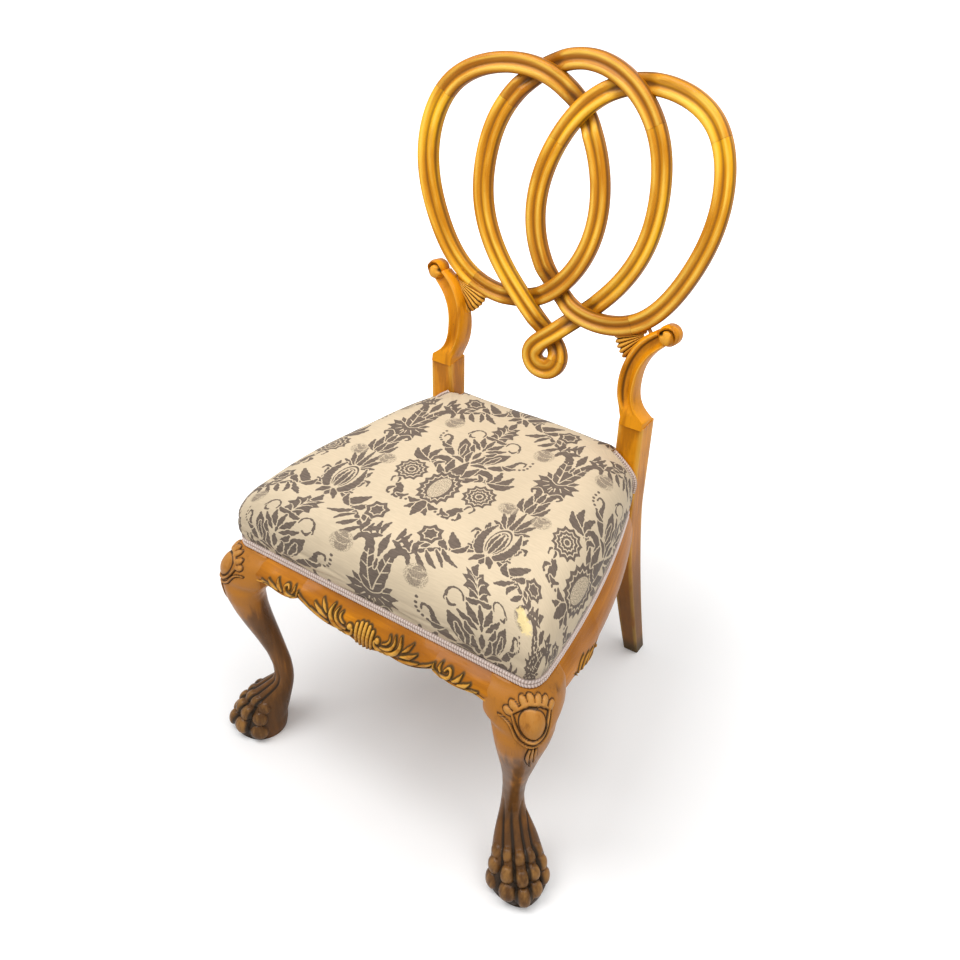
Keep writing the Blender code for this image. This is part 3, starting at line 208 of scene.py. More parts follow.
honey = wood("honey_varnish", (0.315, 0.099, 0.003), (0.610, 0.214, 0.004), (0.830, 0.322, 0.007),
             (0.050, 0.036, 0.012), (0.860, 0.500, 0.090), 0.24)
amber = wood("amber_varnish", (0.450, 0.150, 0.004), (0.780, 0.315, 0.003), (0.930, 0.490, 0.006),
             (0.120, 0.048, 0.008), (1.000, 0.700, 0.130), 0.18)
walnut = wood("brown_varnish", (0.100, 0.042, 0.011), (0.230, 0.092, 0.020), (0.500, 0.190, 0.022),
              (0.018, 0.014, 0.010), (0.560, 0.290, 0.080), 0.22)
FINISHES = {"honey_wood": honey, "dark_wood": walnut}
print("wood finishes", ", ".join(m.name for m in (honey, amber, walnut)))

# %% [markdown]
# ## From grids to pieces
# A grid is an array of points, rows by columns. Joining neighbours gives quads; joining the last column to the first
# closes a tube, and a fan closes each end. The signed volume of the closed skin says whether its faces point out.

# %% Grids, skins and pieces
HANDS = ((-1, "left"), (1, "right"))
FIELDS = {"grain": 3, "hollow": 1, "worn": 1, "tint": 1, "figure": 1, "lace": 1}


def join(*parts):
    """Coordinates of any matching shapes joined into points."""
    return np.stack(np.broadcast_arrays(*parts), axis=-1)


def skin(points, closed):
    """Quads of a grid, and the triangles of the fans that close its ends."""
    rows, columns = points.shape[:2]
    index = np.arange(rows * columns).reshape(rows, columns)
    triangles = np.zeros((0, 3), int)
    if closed:
        index = np.hstack([index, index[:, :1]])
        first, last, tip = index[0], index[-1], rows * columns
        triangles = np.vstack([join(first[1:], first[:-1], tip), join(last[:-1], last[1:], tip + 1)])
    quads = join(index[:-1, :-1], index[:-1, 1:], index[1:, 1:], index[1:, :-1]).reshape(-1, 4)
    return quads, triangles


def with_ends(values, closed):
    """A grid's values as one list, with the mean of each end row added where the ends are closed."""
    flat = values.reshape(values.shape[0] * values.shape[1], -1)
    ends = [values[row].reshape(values.shape[1], -1).mean(axis=0) for row in (0, -1)]
    return np.vstack([flat] + ends) if closed else flat


def volume(corners, quads, triangles):
    """Six times the signed volume: the sum over triangles of a . (b x c)."""
    parts = np.vstack([quads[:, :3], quads[:, [0, 2, 3]], triangles])
    a, b, c = (corners[parts[:, k]] for k in range(3))
    return np.einsum("ij,ij->", a, np.cross(b, c))


def piece(name, grids, slot, nodes, sharp=50, finish=None):
    """One object from grids of points in the seat's frame, each with its fields; it replaces the named nodes."""
    kinds = {key: width for key, width in FIELDS.items() if key in grids[0]}
    corners, loops, sizes, fields = [], [], [], {key: [] for key in kinds}
    base = 0
    for grid in grids:
        closed = not grid.get("open")
        points = with_ends(grid["points"], closed)
        quads, triangles = skin(grid["points"], closed)
        if closed and volume(points - points.mean(axis=0), quads, triangles) < 0:
            quads, triangles = quads[:, ::-1], triangles[:, ::-1]
        loops += [quads.ravel() + base, triangles.ravel() + base]
        sizes += [np.full(len(quads), 4), np.full(len(triangles), 3)]
        for key, width in kinds.items():
            values = np.asarray(grid.get(key, 0.0), float)
            values = values[..., None] if width == 1 and values.ndim == 2 else values
            values = np.broadcast_to(values, grid["points"].shape[:2] + (width,))
            fields[key].append(with_ends(values, closed))
        corners.append(points)
        base += len(points)
    corners = np.vstack(corners) - (0.0, FRONT_LINE, 0.0)
    loops, sizes = np.concatenate(loops), np.concatenate(sizes)
    mesh = bpy.data.meshes.new(name)
    mesh.vertices.add(len(corners))
    mesh.vertices.foreach_set("co", corners.ravel())
    mesh.loops.add(len(loops))
    mesh.loops.foreach_set("vertex_index", loops)
    mesh.polygons.add(len(sizes))
    mesh.polygons.foreach_set("loop_start", np.cumsum(sizes) - sizes)
    mesh.update(calc_edges=True)
    for key, width in kinds.items():
        layer = mesh.attributes.new(key, "FLOAT_VECTOR" if width == 3 else "FLOAT", "POINT")
        layer.data.foreach_set("vector" if width == 3 else "value", np.vstack(fields[key]).ravel())
    mesh.shade_smooth()
    mesh.set_sharp_from_angle(angle=math.radians(sharp))
    mesh.materials.append(finish or FINISHES[slot])
    made = add(name, mesh)
    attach(made, "root")
    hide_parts(*nodes)
    print(name, len(sizes), "faces")
    return made


def pair(node, slot, *shapes):
    """The left and the right piece of one kind; each shape is worked out for its hand."""
    for hand, side in HANDS:
        name = "%s_%s" % (node, side)
        piece(name + "_carved", [shape(hand) for shape in shapes], slot, [name])


# %% [markdown]
# ## Lines through measured points
# A few points give each curve of the chair. A cubic spline is the smooth line through them: its second derivatives
# come from one small system of equations, in which neighbouring pieces share slope and bend. Some smaller shapes
# come back everywhere: an S between two values, a bell and a dome.

# %% Splines and small shapes
def spline(knots, values, at):
    """Natural cubic spline through values at knots, evaluated at an array of places."""
    knots, values = np.asarray(knots, float), np.asarray(values, float)
    flat = values.reshape(len(knots), -1)
    step = np.diff(knots)
    slope = np.diff(flat, axis=0) / step[:, None]
    system = np.eye(len(knots))
    inner = np.arange(1, len(knots) - 1)
    system[inner, inner] = 2 * (step[:-1] + step[1:])
    system[inner, inner - 1], system[inner, inner + 1] = step[:-1], step[1:]
    bend = np.linalg.solve(system, np.vstack([0 * flat[:1], 6 * np.diff(slope, axis=0), 0 * flat[:1]]))
    k = np.clip(np.searchsorted(knots, at) - 1, 0, len(step) - 1)
    h, t = step[k][:, None], (np.asarray(at) - knots[k])[:, None]
    result = (bend[k] * (h - t) ** 3 + bend[k + 1] * t ** 3) / (6 * h)
    result += (flat[k] / h - bend[k] * h / 6) * (h - t) + (flat[k + 1] / h - bend[k + 1] * h / 6) * t
    return result.reshape((len(result),) + values.shape[1:])


def between(at, marks, table):
    """Rows of a table at places between its marks, joined by straight lines."""
    return np.stack([np.interp(at, marks, column) for column in table.T], axis=-1)


def run_along(points):
    """Distance along a broken line at each of its points."""
    return np.concatenate([[0.0], np.cumsum(np.linalg.norm(np.diff(points, axis=0), axis=1))])


def unit(arrows):
    """Arrows divided by their lengths."""
    return arrows / np.maximum(np.linalg.norm(arrows, axis=-1, keepdims=True), 1e-12)


def ease(value, low, high):
    """0 below low, 1 above high, with a smooth S between."""
    t = np.clip((value - low) / (high - low), 0, 1)
    return t * t * (3 - 2 * t)


def bell(value, middle, width):
    """exp(-d^2), where d is the distance from the middle in widths."""
    return np.exp(-((value - middle) / width) ** 2)


def dome(share):
    """Half round: the root of 1 - share^2, and 0 beyond 1."""
    return np.sqrt(np.maximum(1 - share * share, 0))


# %% [markdown]
# ## The back's surface
# The back leans by twelve degrees and is hollow in plan, so that it fits a sitter. Every ribbon lies on that
# surface: a point is given by its distance from the middle, its distance up the slope and its depth behind the face.

# %% Points on the back
RAKE = math.radians(11.9)
UP = np.array([0.0, math.sin(RAKE), math.cos(RAKE)])
INTO = np.array([0.0, math.cos(RAKE), -math.sin(RAKE)])
SHOULDER = np.array([0.0, 0.4019, 0.5433])
BACK_SAG, BACK_HALF = 0.0276, 0.2357     # depth of the hollow, and where it runs out
LOOP_FORWARD = 0.0076                    # the loops stand this far before the posts there


def on_plane(x, up, depth):
    """Shoulder + up along the slope + depth into it."""
    x, up, depth = np.broadcast_arrays(x, up, depth)
    return join(x, 0.0, 0.0) + SHOULDER + up[..., None] * UP + depth[..., None] * INTO


def on_back(x, up, depth):
    """The same on the hollow surface: the depth grows by a parabola towards the middle."""
    return on_plane(x, up, depth + BACK_SAG * (1 - (x / BACK_HALF) ** 2) - LOOP_FORWARD)


# %% [markdown]
# ## Interlaced ribbons
# Three loops pass over and under each other, and the middle one ends in a curl. Each is glued up from strips, whose
# joints show as changes of colour. A ribbon could be a bevelled curve; here it is a profile with two beads carried
# along the spline, because its depth has to rise and fall at each crossing. The crossings are found where the
# centre lines cut each other, and the ribbon below dips there so that its beads run under the other's edge.

# %% Centre lines and crossings
SIDE_LOOP = np.array(((0.237, 0.339), (0.205, 0.423), (0.142, 0.455), (0.042, 0.444), (-0.034, 0.356),
                      (-0.046, 0.231), (0.037, 0.133), (0.147, 0.143), (0.211, 0.223)))
MIDDLE_HALF = np.array(((0.0, 0.477), (0.080, 0.449), (0.129, 0.388), (0.143, 0.330), (0.137, 0.254), (0.079, 0.156),
                        (0.039, 0.117), (0.0, 0.080), (-0.0236, 0.0475), (-0.0167, 0.0325)))
CURL_MIDDLE, CURL_RADIUS = 0.0475, 0.0212
MIRROR = np.array((-1.0, 1.0))
RIBBON_WIDE, RIBBON_THICK = 0.029, 0.019
WEAVE, DIP, DIP_RUN = 0.0025, 0.0068, 0.024      # rise and fall at a crossing, extra dip below, and its run-out
LINE_STEPS, TANGENT_STEP, TINY = 900, 0.002, 1e-16


class Ribbon:
    """A closed centre line on the back, by distance along it, with its crossings."""

    def __init__(self, points):
        ahead = 5
        padded = np.vstack([points[-ahead:], points, points[:ahead + 1]])
        chord = run_along(padded)
        chord -= chord[ahead]
        self.line = spline(chord, padded, np.linspace(0, chord[ahead + len(points)], LINE_STEPS))
        self.mark = run_along(self.line)
        self.length = self.mark[-1]
        self.crossings = []

    def at(self, distance):
        return between(distance % self.length, self.mark, self.line)

    def tangent(self, distance):
        return unit(self.at(distance + TANGENT_STEP) - self.at(distance - TANGENT_STEP))

    def find(self, axis, near):
        """Distance to the place nearest to a point where one coordinate passes the point's own."""
        a, b = self.line[:-1, axis] - near[axis], self.line[1:, axis] - near[axis]
        passes = np.nonzero(a * b <= 0)[0]
        best = passes[np.argmin(np.linalg.norm(self.line[passes] - near, axis=1))]
        return self.mark[best] + a[best] / (a[best] - b[best]) * (self.mark[best + 1] - self.mark[best])

    def sink(self, distance):
        """Depth of the weave: a cosine from one crossing to the next, over before the face, under behind it."""
        marks = np.array(sorted(self.crossings))
        place = np.concatenate([marks[-1:, 0] - self.length, marks[:, 0], marks[:1, 0] + self.length])
        side = np.concatenate([marks[-1:, 1], marks[:, 1], marks[:1, 1]])
        d = distance % self.length
        k = np.clip(np.searchsorted(place, d) - 1, 0, len(place) - 2)
        share = (1 - np.cos(math.pi * (d - place[k]) / (place[k + 1] - place[k]))) / 2
        return -WEAVE * (side[k] + (side[k + 1] - side[k]) * share)

    def dip(self, distance):
        """Share of the full dip where this ribbon passes under another one."""
        total = 0.0
        for place, side, reach in self.crossings:
            if side < 0:
                away = np.abs((distance - place + self.length / 2) % self.length - self.length / 2)
                total = np.maximum(total, 1 - ease(away, reach, reach + DIP_RUN))
        return total


def meet(first, second):
    """Places along two lines where their segments cut, from the top down."""
    a, b = first.line[:-1], second.line[:-1]
    gap = b[None] - a[:, None]
    (ax, au), (bx, bu) = np.diff(first.line, axis=0).T[..., None], np.diff(second.line, axis=0).T
    turn = ax * bu - au * bx
    turn = np.where(np.abs(turn) < TINY, TINY, turn)
    t, u = (gap[..., 0] * bu - gap[..., 1] * bx) / turn, (gap[..., 0] * au - gap[..., 1] * ax) / turn
    i, j = np.nonzero((t >= 0) & (t < 1) & (u >= 0) & (u < 1))
    if first is second:
        keep = (j > i + 1) & ~((i == 0) & (j == len(b) - 1))
        i, j = i[keep], j[keep]
    order = np.argsort(-a[i, 1])
    return first.mark[i[order]], second.mark[j[order]]


def weave(over, under, spot):
    """Note one crossing on both ribbons, with the half length that the upper one covers; its place on the lower."""
    here, there = (places[spot] for places in meet(over, under))
    (ax, au), (bx, bu) = over.tangent(here), under.tangent(there)
    reach = RIBBON_WIDE / 2 / abs(ax * bu - au * bx)
    over.crossings.append((here, 1, reach))
    under.crossings.append((there, -1, reach))
    return there


right_loop, left_loop = Ribbon(SIDE_LOOP), Ribbon(SIDE_LOOP * MIRROR)
middle_loop = Ribbon(np.vstack([MIDDLE_HALF, (0.0, CURL_MIDDLE - CURL_RADIUS), (MIDDLE_HALF * MIRROR)[:0:-1]]))
weave(left_loop, middle_loop, 0)
weave(middle_loop, left_loop, -1)
weave(middle_loop, right_loop, 0)
hidden_middle = weave(right_loop, middle_loop, -1)
hidden_left = weave(right_loop, left_loop, 0)
weave(left_loop, right_loop, -1)
weave(middle_loop, middle_loop, 0)
for loop in (left_loop, middle_loop, right_loop):
    print("ribbon", round(loop.length, 3), "m,", len(loop.crossings), "crossings")

# %% The strips
JOINT_GAP, STRIP_STEP, FACE_DEEP = 0.0003, 0.0024, 0.009
CREST, VALLEY_DEEP, EDGE_DEEP, EDGE_POWER = 0.50, 0.0032, 0.0060, 2.4
CROWDED = 1.35                                   # columns crowd towards the edges by a sine of this angle
# painted shade in the valley between the beads, on the rounded edges and where a ribbon dips under another; sides and
# back are darkened evenly
VALLEY_SHADE, EDGE_SHADE, DIP_SHADE, BACK_DARK = 0.66, 0.74, 0.50, 0.35
CURL_REACH, CURL_PULL = 0.024, 0.0093            # the curl's inner bead closes in on its eye
UPPER_JOINT, INNER_JOINT, FOOT_JOINT = 0.407, 0.366, 0.140
EDGE_ACROSS = np.array((1.0, 1.0, 0.97, 0.86, 0.6, 0.2))             # from the front round to the flat back
EDGE_SHORT = np.array((0.0095, 0.0065, 0.0035, 0.0010, 0.0, 0.0))


def ribbon_section():
    """Closed section: a cosine valley between two crests in front, rounded edges, a flat back."""
    v = np.sin(np.linspace(-1, 1, 41) * CROWDED) / math.sin(CROWDED)
    off = np.abs(v)
    valley = VALLEY_DEEP * (1 + np.cos(math.pi * np.minimum(off / CREST, 1))) / 2
    edge = np.maximum(off - CREST, 0) / (1 - CREST)
    front = valley + EDGE_DEEP * (1 - np.sqrt(1 - 0.985 * edge ** EDGE_POWER))
    depth = np.concatenate([front, RIBBON_THICK - EDGE_SHORT, RIBBON_THICK - EDGE_SHORT[::-1]])
    return np.concatenate([v, EDGE_ACROSS, -EDGE_ACROSS[::-1]]), depth


def strip(name, ribbon, start, end, tint, fade=0.0):
    """The section carried along the ribbon: centre + v across + depth, where depth = section + weave + dip."""
    end = end if end > start else end + ribbon.length
    along = np.linspace(start + JOINT_GAP / 2, end - JOINT_GAP / 2, int((end - start) / STRIP_STEP))
    v, depth = ribbon_section()
    across = v * RIBBON_WIDE / 2
    centre, (tx, tu) = ribbon.at(along), ribbon.tangent(along).T[..., None]
    x, up = centre[:, :1] + tu * across, centre[:, 1:] - tx * across
    away = np.hypot(x, up - CURL_MIDDLE)
    pull = CURL_PULL * np.maximum(1 - away / CURL_REACH, 0) ** 2 / away
    x, up = x - x * pull, up - (up - CURL_MIDDLE) * pull
    dip = ribbon.dip(along)[:, None]
    deep = depth + ribbon.sink(along)[:, None] + DIP * dip * (1 - depth / RIBBON_THICK)
    face = depth < FACE_DEEP
    # Painted shade along the valley, on the edges and in the dip under a crossing.
    hollow = VALLEY_SHADE * bell(v, 0, 0.20) + EDGE_SHADE * ease(np.abs(v), 0.80, 1.0) + DIP_SHADE * dip
    hollow = face * hollow + BACK_DARK * ~face
    # Painted highlight on the bead crests, partly wear; weaker where the ribbon dips.
    worn = face * bell(np.abs(v), 0.52, 0.20) * (1 - 0.8 * dip)
    tone = tint + fade * np.linspace(0, 1, len(along))[:, None]
    grid = {"points": on_back(x, up, deep), "grain": join(along[:, None] + 3 * tint, across, deep),
            "hollow": np.clip(hollow, 0, 1), "worn": worn, "tint": tone}
    piece(name + "_carved", [grid], "honey_wood", [name], finish=amber)


crown_right, crown_left = right_loop.find(1, (0.21, UPPER_JOINT)), left_loop.find(1, (-0.21, UPPER_JOINT))
inner_right = right_loop.find(1, (-0.03, INNER_JOINT))
foot_right, foot_left = right_loop.find(0, (FOOT_JOINT, 0.0)), left_loop.find(0, (-FOOT_JOINT, 0.0))
middle_right, middle_left = (middle_loop.find(1, (x, UPPER_JOINT)) for x in (0.12, -0.12))
curl_end = middle_loop.find(1, (0.0236, CURL_MIDDLE))
STRIPS = (("right_loop_crown", right_loop, crown_right, inner_right, 0.02),
          ("right_loop_inner", right_loop, inner_right, foot_right, 0.10, -0.36),
          ("right_loop_outer", right_loop, foot_right, crown_right, -0.14, 0.27),
          ("left_loop_crown", left_loop, crown_left, hidden_left, -0.10),
          ("left_loop_inner", left_loop, hidden_left, foot_left, 0.04, -0.14),
          ("left_loop_outer", left_loop, foot_left, crown_left, 0.08),
          ("middle_loop_crown", middle_loop, middle_left, middle_right, -0.13),
          ("middle_loop_right", middle_loop, middle_right, hidden_middle, 0.03),
          ("middle_loop_curl", middle_loop, hidden_middle, curl_end, -0.04, 0.03),
          ("middle_loop_left", middle_loop, curl_end, middle_left, 0.05))
for made_of in STRIPS:
    strip(*made_of)

# %% [markdown]
# ## Rear posts with scroll arms
# Each post is one piece of wood: a raked foot, a square shaft, a shoulder and an S-shaped arm that rolls over into a
# volute. The shaft is a rounded square carried up a curved line. The arm's front is carved with a rib along its inner
# side and a cove beside it. The volute is a disc in polar rows: a ball in a rolled rim, with a small eye hollow
# where the rib turns over.

# %% Shaft, arm and volute
SHOW_TOP, SHAFT_TOP = 0.386, 0.5373      # upper edge of the polished rails, and of the post's square part
POST_OUTER_X, POST_WIDE, POST_DEEP, POST_FRONT_Y = 0.194, 0.040, 0.041, 0.397
FOOT_WIDE, FOOT_SWEEP, FOOT_SPLAY, FOOT_BEND = 0.028, 0.088, 0.005, 1.3
POST_ROUND, FOOT_DARK, SHAFT_DARK = 0.0028, 0.4, 0.54
# up the slope, middle line, width
ARM = np.array(((0.004, 0.1738, 0.0384), (0.018, 0.1630, 0.0272), (0.034, 0.1562, 0.0256), (0.056, 0.1537, 0.0280),
                (0.080, 0.1562, 0.0285), (0.102, 0.1640, 0.0285), (0.122, 0.1775, 0.0285), (0.136, 0.1930, 0.0260)))
ARM_START, ARM_DEEP, ARM_THIN = -0.008, 0.030, 0.019
# across the arm from -1 to 1, depth of the carved face
ARM_FACE = np.array(((-1.0, 0.0060), (-0.9, 0.0012), (-0.72, -0.0030), (-0.52, -0.0028), (-0.36, 0.0022),
                     (-0.10, 0.0058), (0.28, 0.0056), (0.60, 0.0024), (0.84, -0.0012), (0.94, 0.0002), (1.0, 0.0030)))
ARM_BACK = np.array((1.0, 1.0, 0.94, 0.4, -0.4, -0.94, -1.0, -1.0))
ARM_BACK_DEEP = np.array((0.5, 0.94, 1.0, 1.0, 1.0, 1.0, 0.94, 0.5))
VOLUTE, VOLUTE_RADIUS, BALL_RADIUS, BALL_HIGH = (0.203, 0.142), 0.0158, 0.0112, 0.0058
BALL_OFF, RIM_RADIUS, RIM_WIDE, RIM_HIGH = (-0.0005, -0.0030), 0.0132, 0.0026, 0.0036
BALL_GROOVE_WIDE, BALL_GROOVE_DEEP, VOLUTE_EDGE = 0.0012, 0.0030, 0.0045
EYE, EYE_HALF, EYE_DEEP = (-0.0092, 0.0012), (0.0032, 0.0030), 0.0050
VOLUTE_BACK = np.array((1.0, 1.0, 1.0, 0.99, 0.90, 0.4))[:, None]                       # share of the radius
VOLUTE_BACK_DEEP = np.array((0.006, 0.010, 0.014, 0.018, 0.0205, 0.021))[:, None]


def square_ring(sides=7, bends=4):
    """A square's outline as corner signs and small quarter turns, so that one radius rounds every corner."""
    turn = np.radians(np.concatenate([np.linspace(k * 90, k * 90 + 90, bends) for k in range(4)]))
    signs = np.repeat(((1.0, 1), (-1, 1), (-1, -1), (1, -1)), bends, axis=0)
    ring = np.column_stack([signs, np.cos(turn), np.sin(turn)])
    count = np.where(np.arange(len(ring)) % bends < bends - 1, 1, sides)
    steps = np.concatenate([k + np.arange(n) / n for k, n in enumerate(count)])
    return between(steps, np.arange(len(ring) + 1), np.vstack([ring, ring[:1]]))


def post_shaft(hand):
    """Rows of a rounded square from foot to shoulder: the foot sweeps back by a power of the height below the seat."""
    z = np.concatenate([np.linspace(0, SHOW_TOP, 60), np.linspace(SHOW_TOP, SHAFT_TOP, 30)[1:]])[:, None]
    share = np.maximum(1 - z / SHOW_TOP, 0)
    wide, deep = POST_WIDE + (FOOT_WIDE - POST_WIDE) * share, POST_DEEP + (FOOT_WIDE - POST_DEEP) * share
    rise = np.maximum(z - SHOW_TOP, 0) / (SHOULDER[2] - SHOW_TOP)
    front = POST_FRONT_Y + FOOT_SWEEP * share ** FOOT_BEND + (SHOULDER[1] - POST_FRONT_Y) * rise
    sx, sy, cx, cy = square_ring().T
    x = POST_OUTER_X + FOOT_SPLAY * share - wide / 2 + sx * (wide / 2 - POST_ROUND) + POST_ROUND * cx
    y = front + deep / 2 + sy * (deep / 2 - POST_ROUND) + POST_ROUND * cy
    return {"points": join(hand * x, y, z), "grain": join(z, x, y + 0.1 * z),
            "hollow": FOOT_DARK * (1 - ease(z, 0.0, 0.05)) + SHAFT_DARK * (1 - ease(z, 0.14, 0.38)),
            "worn": 0.8 * ease(np.abs(sx * sy), 0.96, 1.0)[None], "tint": 0.06 - 0.46 * (1 - ease(z, 0.10, SHOW_TOP))}


def post_arm(hand):
    """The arm's section is a carved face, two flanks and a back, carried along a spline up the slope."""
    up = np.linspace(ARM_START, ARM[-1, 0], 96)
    x, wide = spline(ARM[:, 0], ARM[:, 1:], np.maximum(up, ARM[0, 0])).T
    deep = np.interp(up, (0.0, ARM[3, 0], ARM[-1, 0]), (POST_DEEP - 0.004, ARM_DEEP, ARM_THIN))
    v = np.linspace(-1, 1, 45)
    slope = np.gradient(x, up) * ease(up, 0.012, 0.050)
    size = np.hypot(slope, 1)[:, None]
    relief = ease(up, 0.008, 0.034)[:, None]
    face = spline(*ARM_FACE.T, v) * relief + 0.0015 * (np.abs(v) > 0.97) * (1 - relief)
    depth = np.hstack([face, deep[:, None] * ARM_BACK_DEEP])
    off = np.concatenate([v, ARM_BACK]) * wide[:, None] / 2
    px, pu = x[:, None] + off / size, up[:, None] - off * slope[:, None] / size
    plain = 0 * ARM_BACK
    # Painted shade: dark along the cove, lighter over the middle of the face, even on the flanks and back.
    cove = np.concatenate([bell(v, -0.30, 0.13) + 0.35 * bell(v, 0.12, 0.30), plain + 0.25]) * relief
    worn = np.concatenate([bell(v, -0.58, 0.10) + bell(v, 0.84, 0.06), plain]) * relief
    return {"points": on_plane(hand * px, pu, depth), "grain": join(pu, px, depth),
            "hollow": 0.80 * np.minimum(cove, 1), "worn": worn, "tint": 0.17}


def post_volute(hand):
    """Polar rows from the middle out: a ball, a groove, a rolled rim, then the round edge and the back."""
    turn = np.linspace(0, 2 * math.pi, 80, endpoint=False)
    r = np.linspace(0.02, 1.0, 34)[:, None] * VOLUTE_RADIUS
    x, u = r * np.cos(turn), r * np.sin(turn)
    off = np.hypot(x - BALL_OFF[0], u - BALL_OFF[1])
    ball = dome(off / BALL_RADIUS)
    rim = bell(r, RIM_RADIUS, RIM_WIDE) * ease(u, -0.006, 0.006)
    groove = bell(off, BALL_RADIUS, BALL_GROOVE_WIDE) * ease(u, -0.008, 0.002)
    eye = bell(x, EYE[0], EYE_HALF[0]) * bell(u, EYE[1], EYE_HALF[1])
    sunk = BALL_GROOVE_DEEP * groove + EYE_DEEP * eye + VOLUTE_EDGE * ease(r, 0.0128, VOLUTE_RADIUS)
    depth = sunk - 0.001 - BALL_HIGH * ball - RIM_HIGH * rim
    behind = VOLUTE_BACK_DEEP + 0 * turn
    x = np.vstack([x, VOLUTE_BACK * VOLUTE_RADIUS * np.cos(turn)])
    u = np.vstack([u, VOLUTE_BACK * VOLUTE_RADIUS * np.sin(turn)])
    depth = np.vstack([depth, behind])
    # Painted shade in the eye and in the groove round the ball, and a little on the back.
    return {"points": on_plane(hand * (VOLUTE[0] + x), VOLUTE[1] + u, depth), "grain": join(u, x, depth),
            "hollow": np.vstack([np.clip(1.2 * eye + 0.7 * groove, 0, 1), 0.1 + 0 * behind]),
            "worn": np.vstack([0.6 * ball, 0 * behind]), "tint": 0.10}


pair("rear_post", "honey_wood", post_shaft, post_arm, post_volute)

# %% [markdown]
# ## Fans
# A small fan of rounded ribs fills the angle between each side loop and its arm. In polar rows a rib is half a
# wave of the angle: its crest stands forward and its end bulges out.

# %% Fans
FAN_APEX, FAN_RADIUS, FAN_RIBS, FAN_NEAR = (0.167, 0.132), 0.054, 7, 0.075
FAN_FROM, FAN_TO, WEB_FROM = (math.radians(a) for a in (186, 246, 104))
WEB_BEHIND = 0.004    # the plain web ends this far beyond the loop's middle line
FAN_FACE, RIB_HIGH, RIB_BULGE, RIB_POWER = 0.0062, 0.0034, 0.0030, 0.8
FAN_BACK = (0.0110, 0.0150, 0.0155)


def loop_reach(angle):
    """Distance from the fan's apex to the middle line of the loop, for each angle."""
    off = right_loop.at(np.linspace(0, right_loop.length, 1500)) - FAN_APEX
    size, turn = np.hypot(*off.T), np.arctan2(off[:, 1], off[:, 0]) % (2 * math.pi)
    near = np.flatnonzero(size < FAN_NEAR)
    near = near[np.argsort(turn[near])]
    return np.interp(angle, turn[near], size[near])


def fan(hand):
    """Depth = base - rib * |sin|, radius = full + bulge * |sin| below; a plain web out to the loop above."""
    angle = np.concatenate([np.linspace(WEB_FROM, FAN_FROM, 40)[:-1], np.linspace(FAN_FROM, FAN_TO, 127)])[:, None]
    ribs = angle >= FAN_FROM
    share = np.maximum(angle - FAN_FROM, 0) / (FAN_TO - FAN_FROM)
    wave = np.where(ribs, np.abs(np.sin(math.pi * FAN_RIBS * share)) ** RIB_POWER, 0.5)
    out = np.linspace(0.08, 1, 26)
    radius = np.concatenate([out, out[::-1][:3] * (1.0, 0.97, 0.5)])
    front = np.concatenate([FAN_FACE + 0 * out, FAN_BACK])
    carved = np.concatenate([1 + 0 * out, (0.4, 0.0, 0.0)])
    full = np.where(ribs, FAN_RADIUS, np.minimum(loop_reach(angle) + WEB_BEHIND, FAN_RADIUS))
    r = radius * full + RIB_BULGE * (wave - 0.6) * ease(radius, 0.5, 1.0)
    depth = front - RIB_HIGH * wave * carved * ease(radius, 0.05, 0.4) + RIB_BULGE * ease(radius, 0.86, 1.0) * carved
    x, up = FAN_APEX[0] + r * np.cos(angle), FAN_APEX[1] + r * np.sin(angle)
    # Painted shade: dark between the ribs, even on the plain web and on the rows behind the carved face.
    hollow = np.where(ribs, (1 - ease(wave, 0.25, 0.75)) * carved, 0.35) + 0.2 * (1 - carved)
    return {"points": on_back(hand * x, up, depth), "grain": join(r, angle * 0.03, depth), "hollow": hollow,
            "worn": ribs * wave * carved, "tint": 0.05}


pair("fan", "honey_wood", fan)

# %% [markdown]
# ## Carving
# Rails and legs carry shallow carving: scrolls, leaves, flutes. A carver draws each as a stroke that swells and
# tapers, and lowers the ground beside it. Sculpting by hand would do too, but a stroke kept as a spline with a half
# width can be measured and mirrored. The distance to the nearest stroke gives height, groove, and the darkening along
# the groove, which is partly settled polish and partly painted shade.

# %% Strokes in relief
TENTHS = 1e4          # carving is written in tenths of a millimetre
NEAR = 0.006          # a stroke is felt this far beyond its edge
FULL_HIGH, GROUND_LINE, INNER_LINE, GROOVE_DEEP = 0.0026, 0.0026, 0.0008, 0.0012


def places_of(flat):
    """Pairs (across, height) from one row of numbers."""
    return np.reshape(flat, (-1, 2)) / TENTHS


def strokes(*rows):
    """Each stroke: places (across, height, across, height ...), half widths along it, height of its relief."""
    return [(places_of(flat), np.array(half) / TENTHS, high / TENTHS) for flat, half, high in rows]


def stroke_gap(u, w, points, half, tooth=0.0):
    """Distance of places (u, w) to a stroke's edge, and to its middle line as a share of its half width."""
    chord = run_along(points)
    at = np.linspace(0, 1, min(int(4 * chord[-1] / max(half)) + 8, 120))
    line = spline(chord, points, at * chord[-1])
    wide = np.interp(at, np.linspace(0, 1, len(half)), half)
    if tooth:
        wide = wide * (0.74 + 0.50 * (at * round(chord[-1] / tooth) % 1))
    edge = 1.2 * max(half) + NEAR
    low, high = line.min(axis=0) - edge, line.max(axis=0) + edge
    near = (u > low[0]) & (u < high[0]) & (w > low[1]) & (w < high[1])
    gap, share = np.full(u.shape, NEAR), np.full(u.shape, 9.0)
    away = np.hypot(u[near][:, None] - line[:, 0], w[near][:, None] - line[:, 1])
    gap[near] = np.minimum((away - wide).min(axis=1), NEAR)
    share[near] = (away / wide).min(axis=1)
    return gap, share


